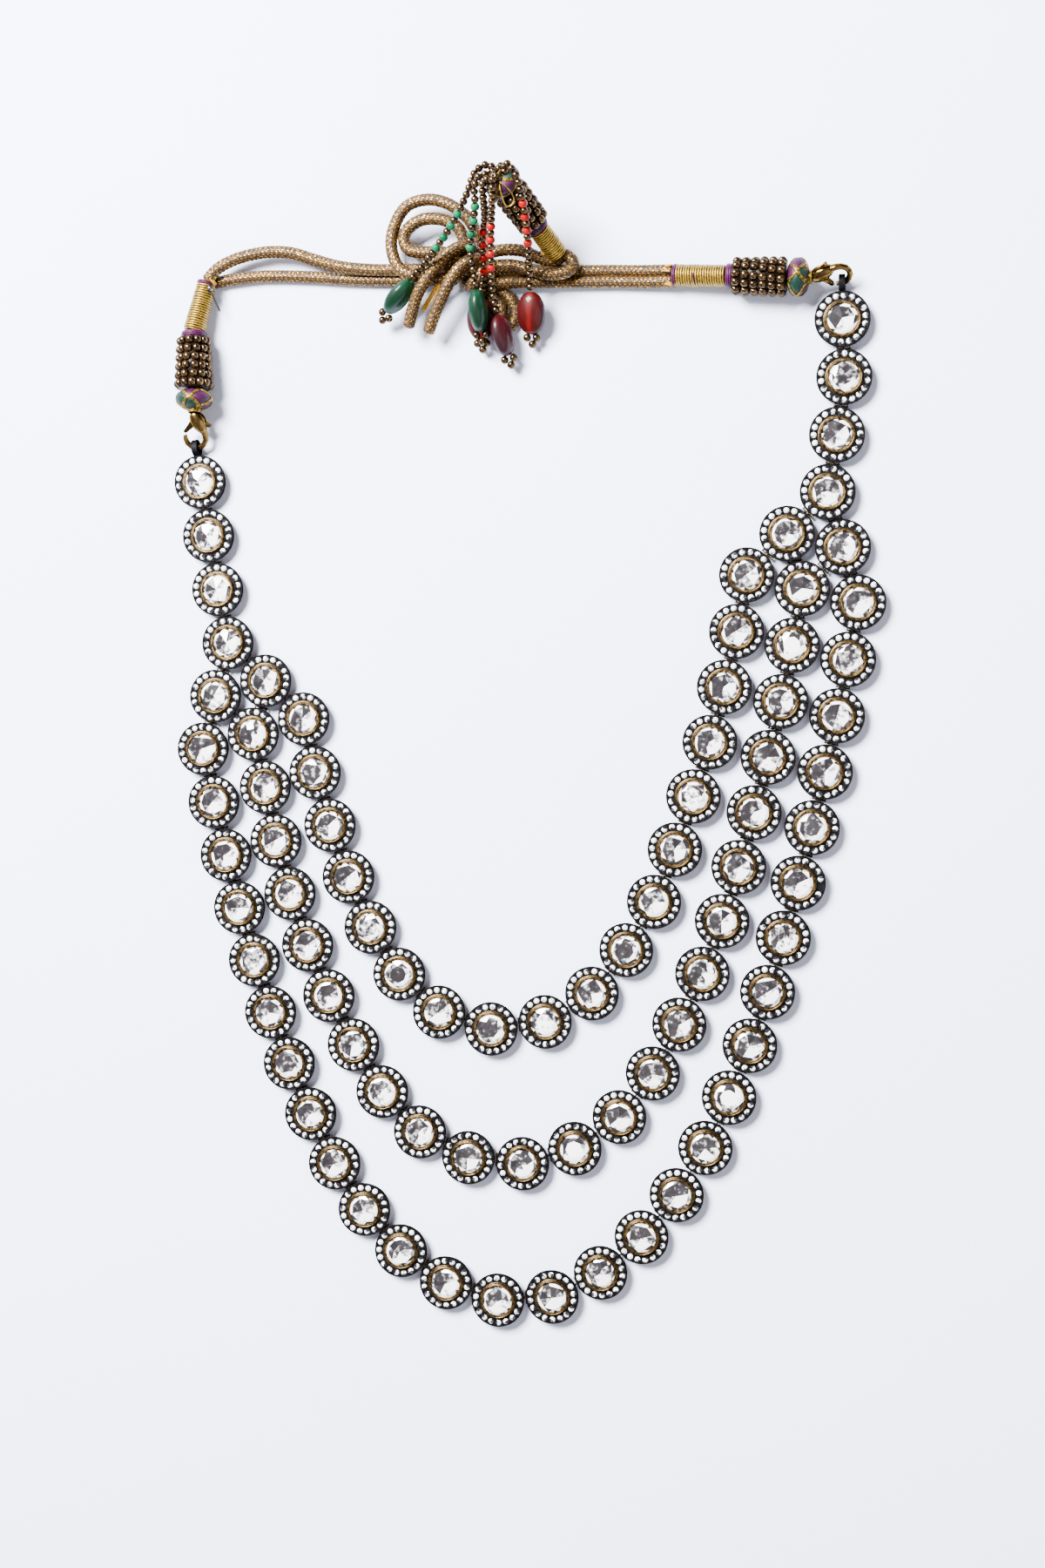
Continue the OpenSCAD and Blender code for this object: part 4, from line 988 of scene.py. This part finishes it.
def painted_chip_reflection(chip, chance, rng):
    """Painted light on each facet of a small stone: a painted white reflection, or by chance a patch of
    painted shade to one side.
    """
    points, faces = chip
    way = rng.uniform(-math.pi, math.pi)
    has_painted_shade = rng.random() < chance
    painted_tones = []
    for face in faces:
        x, y = points[face].mean(axis=0)[:2]
        dark = has_painted_shade and abs(math.remainder(math.atan2(y, x) - way, math.tau)) < 1.2
        painted_tones.append(rng.uniform(0, 0.1) if dark else rng.uniform(0.5, 1))
    return np.array(painted_tones)


def polki(cut):
    """A main stone in one of three cuts, its place that of the model's stone: a pie of facets that
    meet in the middle, a flat table, or two rings of facets."""
    back = [(STONE_R, GIRDLE_LOW), (2.2, STONE_BACK)]
    girdle = (STONE_R, GIRDLE_TOP, 16, 0)
    if cut == "pie":
        return facet_rings([(0.02, STONE_TOP, 4, 0), (3.05, 3.72, 8, 0), girdle], back)
    if cut == "table":
        return facet_rings([(2.1, STONE_TOP - 0.06, 8, 1), (3.1, 3.72, 8, 0), girdle], back)
    return facet_rings([(0.02, STONE_TOP, 5, 0), (1.5, 3.96, 5, 0), (3.1, 3.72, 10, 1), girdle], back)


def painted_foil_reflection(part, rng):
    """Painted light of the foil in each facet: a painted highlight at the lower right, painted shade
    opposite, a lively border of painted bright and dark facets.
    """
    points, faces = part
    lean = rng.uniform(-0.5, 0.5)
    painted_tones = []
    for face in faces:
        x, y = points[face].mean(axis=0)[:2]
        way = math.atan2(y, x) + 0.8 + lean
        # The facets next to the girdle
        if math.hypot(x, y) > 3:
            painted_tones.append(rng.choice((1.0, 0.8, 0.4, 0.15)))
        else:
            painted_tones.append(0.45 + 0.38 * math.cos(way) + 0.16 * math.cos(2 * way) + rng.uniform(-0.2, 0.2))
    return np.array(painted_tones)


class NECKLACE_OT_stones(bpy.types.Operator):
    """Cuts the main stones in three patterns, each facet painted with its foil's reflected light or shade
    """

    bl_idname = "necklace.stones"
    bl_label = "Main stones"

    def execute(self, context):
        rng = random.Random(19)
        cuts = {name: polki(name) for name in ("pie", "table", "ringed")}
        for row in ROWS:
            parts, painted_tones = [], []
            for x, y in setting_centres(row):
                cut = rng.choice(("pie", "pie", "pie", "ringed", "table"))
                part = moved(cuts[cut], Matrix.Rotation(rng.random() * math.tau, 4, "Z"))
                tone = painted_foil_reflection(part, rng)
                # A stone with a flat table gets a painted bright reflection of foil on its back, which is
                # its last face
                if cut == "table":
                    tone[-1] = rng.uniform(0.7, 1.0)
                parts.append(moved(part, at(x, y)))
                painted_tones.append(tone)
            made = piece("polki_" + row, joined(parts), "polki", smooth=False,
                         faces={"tone": np.clip(np.concatenate(painted_tones), 0, 1)})
            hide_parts("stones_" + row)
        return {"FINISHED"}


def cheek(rows, low):
    """One domed cheek of a clasp from (along, across, half width, rise) rows, standing on a height."""
    route = np.array([(x, y, low) for x, y, _, _ in rows])
    way = np.gradient(route, axis=0)
    way /= np.linalg.norm(way, axis=1)[:, None]
    arc = np.linspace(0, math.pi, 13)
    rings = []
    for (_, _, wide, rise), middle, (dx, dy, _) in zip(rows, route, way):
        rings.append([middle + (-dy * wide * math.cos(a), dx * wide * math.cos(a), rise * math.sin(a))
                      for a in arc])
    return loft(rings)


class NECKLACE_OT_clasps(bpy.types.Operator):
    """Gives the lobster clasps and their levers their cast brass, and domes the clasps' cheeks"""

    bl_idname = "necklace.clasps"
    bl_label = "Clasps"

    def execute(self, context):
        for node in ("clasp_right", "clasp_left", "lever_right", "lever_left"):
            dress(node, "brass")
            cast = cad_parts[node]
            skin = cast.modifiers.new("cast_skin", "REMESH")
            skin.mode = "VOXEL"
            skin.voxel_size = 0.13 * MM
            skin.use_smooth_shade = True
            tumbled = cast.modifiers.new("tumbled", "SMOOTH")
            tumbled.factor = 0.5
            tumbled.iterations = 2
        near = cheek(CHEEK, CHEEK_LOW)
        far = (near[0] * (1, 1, -1), [face[::-1] for face in near[1]])
        for name, clasp in CLASPS.items():
            end = ENDS[name]
            hook = along_end(end, knob_from(end) + KNOB_L) - CLASP_REACH * aim(*clasp[:2])
            piece("clasp_cheeks_" + name, moved(joined([near, far]), laid(hook, *clasp)), "brass")
        return {"FINISHED"}


def along_end(end, distance, beads=True):
    """The point that far along an end's winding, or past it along its beads, in millimetres."""
    way = aim(end.wind_az, end.wind_rise)
    if not beads:
        return Vector(end.start) + distance * way
    return Vector(end.start) + end.wind_l * way + distance * aim(end.bead_az, end.bead_rise)


def knob_from(end):
    """How far past its winding an end's knob starts, in millimetres."""
    return BAND_L + BEAD_D * end.rings


def coil(length, d_from, d_to, pitch, depth, rounded):
    """A core wound with thread from end to end, and how high each point stands, 0 to 1.
    Each turn's groove has that depth, and the ends are rounded over that length."""
    sides, ways = 36, 80
    steps = max(8, int(round(length / pitch)) * 6)
    turn = circle(sides)
    rng = random.Random(int(100 * length + 10 * d_from))
    uneven = np.array([rng.uniform(-0.07, 0.05) for _ in range(ways)])
    rings, high = [], []
    for i in range(steps + 1):
        z = length * i / steps
        phase = z / pitch - turn / math.tau
        wave = np.abs(np.cos(math.pi * phase))
        inset = rounded * 0.6 * (1 - min(1, min(z, length - z) / rounded)) ** 2
        r = (d_from + (d_to - d_from) * i / steps) / 2 - inset
        out = r - depth + depth * wave + uneven[np.round(phase).astype(int) % ways]
        rings.append(np.stack([out * np.cos(turn), out * np.sin(turn), np.full(sides, z)], axis=-1))
        high.append(wave)
    return loft(rings), np.concatenate(high)


class NECKLACE_OT_windings(bpy.types.Operator):
    """Winds the cord's ends with gold thread and binds them with bands of purple silk"""

    bl_idname = "necklace.windings"
    bl_label = "Windings and bands"

    def execute(self, context):
        sizes = context.scene.necklace_sizes
        zari, silk = sizes.zari / MM, sizes.silk / MM
        # How much wider than the winding its gold thread, the band and the cuff at its start are
        gold_over, band_over, cuff_over = 0.15, 0.9, 0.35
        cuff_l = 0.9
        for name, end in ENDS.items():
            d_from, d_to = end.wind_d
            part, high = coil(end.wind_l, d_from + gold_over, d_to + gold_over, zari, depth=0.24,
                              rounded=0.5)
            place = stand(end.start, end.wind_az, end.wind_rise)
            made = piece("zari_winding_" + name, moved(part, place), "winding", points={"high": high})
            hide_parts("winding_" + name)
            part, high = coil(BAND_L, d_to + band_over, d_to + band_over, silk, depth=0.12, rounded=0.4)
            place = stand(along_end(end, 0), end.bead_az, end.bead_rise)
            parts, highs = [moved(part, place)], [high]
            if name != "tassel":
                part, high = coil(cuff_l, d_from + cuff_over, d_from + cuff_over, silk, depth=0.1,
                                  rounded=0.3)
                place = stand(along_end(end, -0.3, False), end.wind_az, end.wind_rise)
                parts.append(moved(part, place))
                highs.append(high)
            made = piece("silk_band_" + name, joined(parts), "band", points={"high": np.concatenate(highs)})
            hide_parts("band_" + name)
        return {"FINISHED"}


class NECKLACE_OT_barrels(bpy.types.Operator):
    """Strings the rings of bronze seed beads round each end of the cord"""

    bl_idname = "necklace.barrels"
    bl_label = "Bead barrels"

    def execute(self, context):
        rng = random.Random(3)
        bead = seed_bead(BEAD_D + 0.12, 2.02)
        # The space a bead takes in its ring, and how far the core lies inside the beads
        room, inset = 1.9, 1.1
        for name, end in ENDS.items():
            d_from, d_to = end.beads_d
            place = stand(along_end(end, BAND_L), end.bead_az, end.bead_rise)
            beads = []
            for i in range(end.rings):
                share = (i + 0.5) / end.rings
                r = (d_from * (1 - share) + d_to * share) / 2 - BEAD_D / 2
                n = int(math.tau * r / room)
                for k in range(n):
                    a = math.pi + (k + 0.12 * i + rng.uniform(-0.05, 0.05)) * math.tau / n
                    way = (-math.sin(a), math.cos(a), rng.uniform(-0.12, 0.12))
                    beads.append(place @ facing(polar(r, a, BEAD_D * (i + 0.5)), way))
            made = piece("barrel_beads_" + name, repeated(bead, beads), "bronze")
            core = turned([(d_from / 2 - inset, 0.05), (d_to / 2 - inset, BEAD_D * end.rings - 0.05)], 24)
            thread("barrel_core_" + name, moved(core, place), "core", 0.3)
            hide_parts("barrel_" + name)
        return {"FINISHED"}


# How many pairs of thread bundles cross over a knob, how near its ends its silk and its threads
# reach in radians, and the turn of each knob about its axis, also in radians
KNOB_CROSSINGS, SILK_END, THREAD_END = 4, 1.48, 1.3
KNOB_TURNS = {"right": 3, "left": 3.1, "tassel": 3.9}


def knob_point(a, turn, proud=0.0):
    """A point on the knob, at a rise of a radians and a turn round its axis, or that far over it."""
    height = KNOB_L / 2 + (KNOB_L / 2 - 0.1) * math.sin(a)
    return polar(KNOB_D / 2 * math.cos(a) ** 0.8 + proud, turn, height)


def silk_knob(spacing):
    """The padded knob in patches that swell between its crossing threads, and each point's patch."""
    threads = int(round(math.pi * KNOB_D / spacing))
    # Depth and half width of the furrows under the threads, and height of the silk's fibres
    furrow, half, fibre = 0.32, 0.09, 0.05
    rings, patches = [], []
    for a in np.linspace(-SILK_END, SILK_END, 40):
        ring = []
        for turn in circle(120):
            # The knob's place between the threads that climb one way and the other
            u = turn / math.tau * KNOB_CROSSINGS + 0.5 * math.sin(a)
            v = u - math.sin(a)
            gap = min(abs(u - round(u)), abs(v - round(v)))
            sunk = furrow * math.exp(-(gap / half) ** 2)
            rise = fibre * math.cos(threads * (turn + 0.5 * a))
            ring.append(knob_point(a, turn, (rise - sunk) * math.cos(a)))
            same = math.floor(u) == math.floor(v)
            patches.append(float((math.floor(v) + (0 if same else 1)) % 2))
        rings.append(ring)
    return loft(rings), patches


def knob_threads():
    """Bundles of three gold threads that cross over the knob, and their turns round its end."""
    parts = []
    for k in range(KNOB_CROSSINGS):
        for way in (-1, 1):
            # The bundles that climb the other way lie over the first ones
            proud = 0.02 + 0.06 * (way > 0)
            for side in (-1, 0, 1):
                line = []
                for a in np.linspace(-THREAD_END, THREAD_END, 26):
                    r = KNOB_D / 2 * max(0.3, math.cos(a))
                    turn = (k + 0.5 * way * math.sin(a)) * math.tau / KNOB_CROSSINGS + 0.3 * side / r
                    line.append(knob_point(a, turn, proud))
                parts.append(tube(np.array(line), 0.16, 7))
    parts += [hoop(1.55, KNOB_L - 0.3 + 0.26 * i, 0.17, 24) for i in range(4)]
    return joined(parts)


class NECKLACE_OT_knobs(bpy.types.Operator):
    """Wraps the knobs in green and purple silk with crossing gold threads"""

    bl_idname = "necklace.knobs"
    bl_label = "Knobs"

    def execute(self, context):
        part, patches = silk_knob(context.scene.necklace_sizes.silk / MM)
        threads = knob_threads()
        for name, end in ENDS.items():
            place = stand(along_end(end, knob_from(end)), end.bead_az, end.bead_rise)
            place = place @ Matrix.Rotation(KNOB_TURNS[name], 4, "Z")
            made = piece("silk_knob_" + name, moved(part, place), "knob", points={"patch": patches})
            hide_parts("knob_" + name)
            thread("knob_zari_" + name, moved(threads, place), "winding", 0.6)
        return {"FINISHED"}


class NECKLACE_OT_tassel(bpy.types.Operator):
    """Strings the tassel's five rows of seed beads and the beads below its drops"""

    bl_idname = "necklace.tassel"
    bl_label = "Tassel strings"

    def execute(self, context):
        rng = random.Random(11)
        # The coloured beads are larger than the bronze ones, with wider holes
        coloured = seed_bead(2.3, 1.9, hole=0.4)
        shapes = {"b": seed_bead(2.05, 1.7), "g": coloured, "r": coloured}
        looks = {"b": "bronze", "g": "green", "r": "red"}
        for name, (pattern, route) in STRINGS.items():
            line, run = smooth_line(route, 0.4)
            way = np.gradient(line, axis=0)
            kinds = {}
            for i, kind in enumerate(pattern):
                stop = (i + 0.5) * run[-1] / len(pattern)
                point = [float(np.interp(stop, run, line[:, k])) for k in range(3)]
                axis = Vector([float(np.interp(stop, run, way[:, k])) for k in range(3)]).normalized()
                axis += Vector([rng.uniform(-0.14, 0.14) for _ in range(3)])
                kinds.setdefault(kind, []).append(facing(point, axis, rng.random()))
            for kind, places in kinds.items():
                made = piece(f"string_{name}_{looks[kind]}", repeated(shapes[kind], places), looks[kind])
                if kind == "b":
                    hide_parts("string_" + name)
            thread("thread_" + name, tube(line, 0.28, 6), "core", 0.4)
        end = ENDS["tassel"]
        collar = stand(along_end(end, knob_from(end) + KNOB_L), end.bead_az, end.bead_rise)
        places = []
        # Radius, height and count of the collar's two rings of beads
        for r, z, n in ((1.1, 0.55, 3), (2.5, -0.1, 8)):
            for i in range(n):
                a = (i + 0.4 * z) * math.tau / n
                way = (-math.sin(a), math.cos(a), rng.uniform(-0.3, 0.3))
                places.append(collar @ facing(polar(r, a, z), way))
        piece("tassel_collar_beads", repeated(shapes["b"], places), "bronze")
        # Two beads side by side below each drop, and a third one under them
        side = END_BEAD / 2 + 0.22
        first = OVAL_L + END_BEAD / 2 - 0.1
        places = []
        for point, azimuth, rise, _ in OVALS.values():
            drop = laid(point, azimuth, rise)
            for x, y in ((first, -side), (first, side), (first + 0.84 * END_BEAD, 0.1)):
                tilt = Matrix.Rotation(rng.uniform(0.5, 2.4), 4, "X") @ Matrix.Rotation(
                    rng.uniform(0, 0.7), 4, "Y")
                places.append(drop @ Matrix.Translation((x, y, 0)) @ tilt)
        made = piece("drop_beads", repeated(seed_bead(2.05, 1.75), places), "bronze")
        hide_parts("tassel_end_beads")
        return {"FINISHED"}


class NECKLACE_OT_drops(bpy.types.Operator):
    """Polishes the five oval glass drops"""

    bl_idname = "necklace.drops"
    bl_label = "Oval drops"

    def execute(self, context):
        looks = {"green_left": "green_oval", "green_middle": "green_oval", "red_hidden": "maroon_oval",
                 "red_middle": "maroon_oval", "red_right": "red_oval"}
        sides = 32
        turn = circle(sides)
        across, up = np.cos(turn), np.sin(turn)
        hole = OVAL_HOLE / 2
        # How near each point lies to the middle of the bead's width, where the painted light is brightest
        rings, middle = [], []
        for a in np.linspace(OVAL_MOUTH, math.pi - OVAL_MOUTH, 30):
            swell = math.sin(a) ** 0.85
            wide, thick = max(hole, OVAL_W / 2 * swell), max(hole, OVAL_T / 2 * swell)
            x = OVAL_L / 2 * (1 - math.cos(a) / math.cos(OVAL_MOUTH))
            rings.append(np.stack([np.full(sides, x), wide * across, thick * up], axis=-1))
            middle.append(1 - np.abs(wide * across) / (OVAL_W / 2))
        for x in np.linspace(OVAL_L - 0.12, 0.12, 6):
            rings.append(np.stack([np.full(sides, x), hole * across, hole * up], axis=-1))
            middle.append(np.zeros(sides))
        oval = loft(rings, closed=True)
        for name, place in OVALS.items():
            made = piece("drop_" + name, moved(oval, laid(*place)), looks[name],
                         points={"middle": np.concatenate(middle)})
            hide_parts("oval_" + name)
        return {"FINISHED"}


def tuft(first, last, count, spread, rng):
    """Loose threads that run between two points, each a little astray and bowed up."""
    parts = []
    for _ in range(count):
        ends = [np.array(p) + [rng.uniform(-spread, spread) for _ in range(3)] for p in (first, last)]
        bow = np.array([rng.uniform(-spread, spread), rng.uniform(-spread, spread), rng.uniform(0.1, 0.4)])
        line, _ = smooth_line([ends[0], (ends[0] + ends[1]) / 2 + bow, ends[1]], 0.4)
        parts.append(tube(line, 0.14, 5))
    return joined(parts)


class NECKLACE_OT_trim(bpy.types.Operator):
    """Adds the loose threads at the cord's ends, the left winding's pin and the tassel's thread loop"""

    bl_idname = "necklace.trim"
    bl_label = "Loose threads and pin"

    def execute(self, context):
        rng = random.Random(5)
        thread("cotton_tufts", joined([tuft(*t, rng) for t in COTTON]), "cotton", 0.6)
        mark, _ = smooth_line(PURPLE_THREAD, 0.3)
        thread("purple_ends", joined([tube(mark, 0.17, 6), tuft(*PURPLE_TUFT, rng)]), "band", 0.5)
        pin, _ = smooth_line(PIN, 0.5)
        head_r = 0.85
        outline = [(head_r * math.cos(a), head_r * math.sin(a)) for a in np.linspace(-1.5, 1.5, 12)]
        head = turned(outline, 20)
        piece("pin", joined([tube(pin, 0.24, 10), moved(head, at(*PIN_HEAD))]), "steel")
        loop, _ = smooth_line(ZARI_LOOP, 0.3)
        # A second thread that runs beside the first, a little above it
        second = loop * (1, 1, 1.01) + (0.1, -0.12, 0)
        thread("zari_loop", joined([tube(loop, 0.16, 7), tube(second, 0.13, 7)]), "winding", 0.7)
        return {"FINISHED"}


class NECKLACE_OT_stage(bpy.types.Operator):
    """Lays the pale table and sets the soft studio lights"""

    bl_idname = "necklace.stage"
    bl_label = "Table and lights"

    def execute(self, context):
        mesh = bpy.data.meshes.new("table")
        # Half the table's width in metres
        w = 3.0
        mesh.from_pydata([(-w, -w, 0), (w, -w, 0), (w, w, 0), (-w, w, 0)], [], [(0, 1, 2, 3)])
        table = bpy.data.objects.new("table", mesh)
        # Just clear of the necklace's backs
        table.location.z = -0.02 * MM
        context.scene.collection.objects.link(table)
        table.data.materials.append(finish("table"))
        for name, (place, width, watts) in LAMPS.items():
            light = bpy.data.lights.new(name, "AREA")
            light.shape = "SQUARE"
            light.size = width
            light.energy = watts
            lamp = bpy.data.objects.new(name, light)
            lamp.matrix_world = facing(place, place)
            context.scene.collection.objects.link(lamp)
        world = bpy.data.worlds.new("studio")
        context.scene.world = world
        world.use_nodes = True
        tree = world.node_tree
        tree.nodes.clear()
        place = add_node(tree, "ShaderNodeTexCoord").outputs["Generated"]
        # Pale walls with darker gaps between them, which polished metal and stones reflect
        gaps = add_node(tree, "ShaderNodeTexNoise", {"Vector": place, "Scale": 2.4, "Detail": 1.0})
        sky = add_node(tree, "ShaderNodeValToRGB", {"Fac": gaps.outputs["Fac"]}, stops=[
            (0.44, linear("#32282C")), (0.52, linear("#BCA8AC")), (0.6, linear("#FFF6F8"))])
        light = add_node(tree, "ShaderNodeBackground", {"Color": sky.outputs[0], "Strength": 0.95})
        add_node(tree, "ShaderNodeOutputWorld", {"Surface": light.outputs[0]})
        return {"FINISHED"}


OPERATORS = (
    NECKLACE_OT_camera, NECKLACE_OT_cords, NECKLACE_OT_settings, NECKLACE_OT_stones, NECKLACE_OT_clasps,
    NECKLACE_OT_windings, NECKLACE_OT_barrels, NECKLACE_OT_knobs, NECKLACE_OT_tassel, NECKLACE_OT_drops,
    NECKLACE_OT_trim, NECKLACE_OT_stage,
)


class NECKLACE_PT_dress(bpy.types.Panel):
    """Lists the steps that dress the necklace, with its sizes and colours"""

    bl_label = "Necklace"
    bl_idname = "NECKLACE_PT_dress"
    bl_space_type = "VIEW_3D"
    bl_region_type = "UI"
    bl_category = "Necklace"

    def draw(self, context):
        for operator in OPERATORS:
            self.layout.operator(operator.bl_idname)
        for group in (context.scene.necklace_sizes, context.scene.necklace_colours):
            box = self.layout.box()
            for key in group.__annotations__:
                box.prop(group, key)


CLASSES = (NecklaceSizes, NecklaceColours, *OPERATORS, NECKLACE_PT_dress)


def register():
    """Makes the classes and the scene's settings known to Blender."""
    for made in CLASSES:
        bpy.utils.register_class(made)
    bpy.types.Scene.necklace_sizes = PointerProperty(type=NecklaceSizes)
    bpy.types.Scene.necklace_colours = PointerProperty(type=NecklaceColours)


def unregister():
    """Takes them away again."""
    del bpy.types.Scene.necklace_colours
    del bpy.types.Scene.necklace_sizes
    for made in reversed(CLASSES):
        bpy.utils.unregister_class(made)


def main():
    """Dresses the necklace step by step."""
    register()
    for operator in OPERATORS:
        group, step = operator.bl_idname.split(".")
        getattr(getattr(bpy.ops, group), step)()


if __name__ == "__main__":
    main()
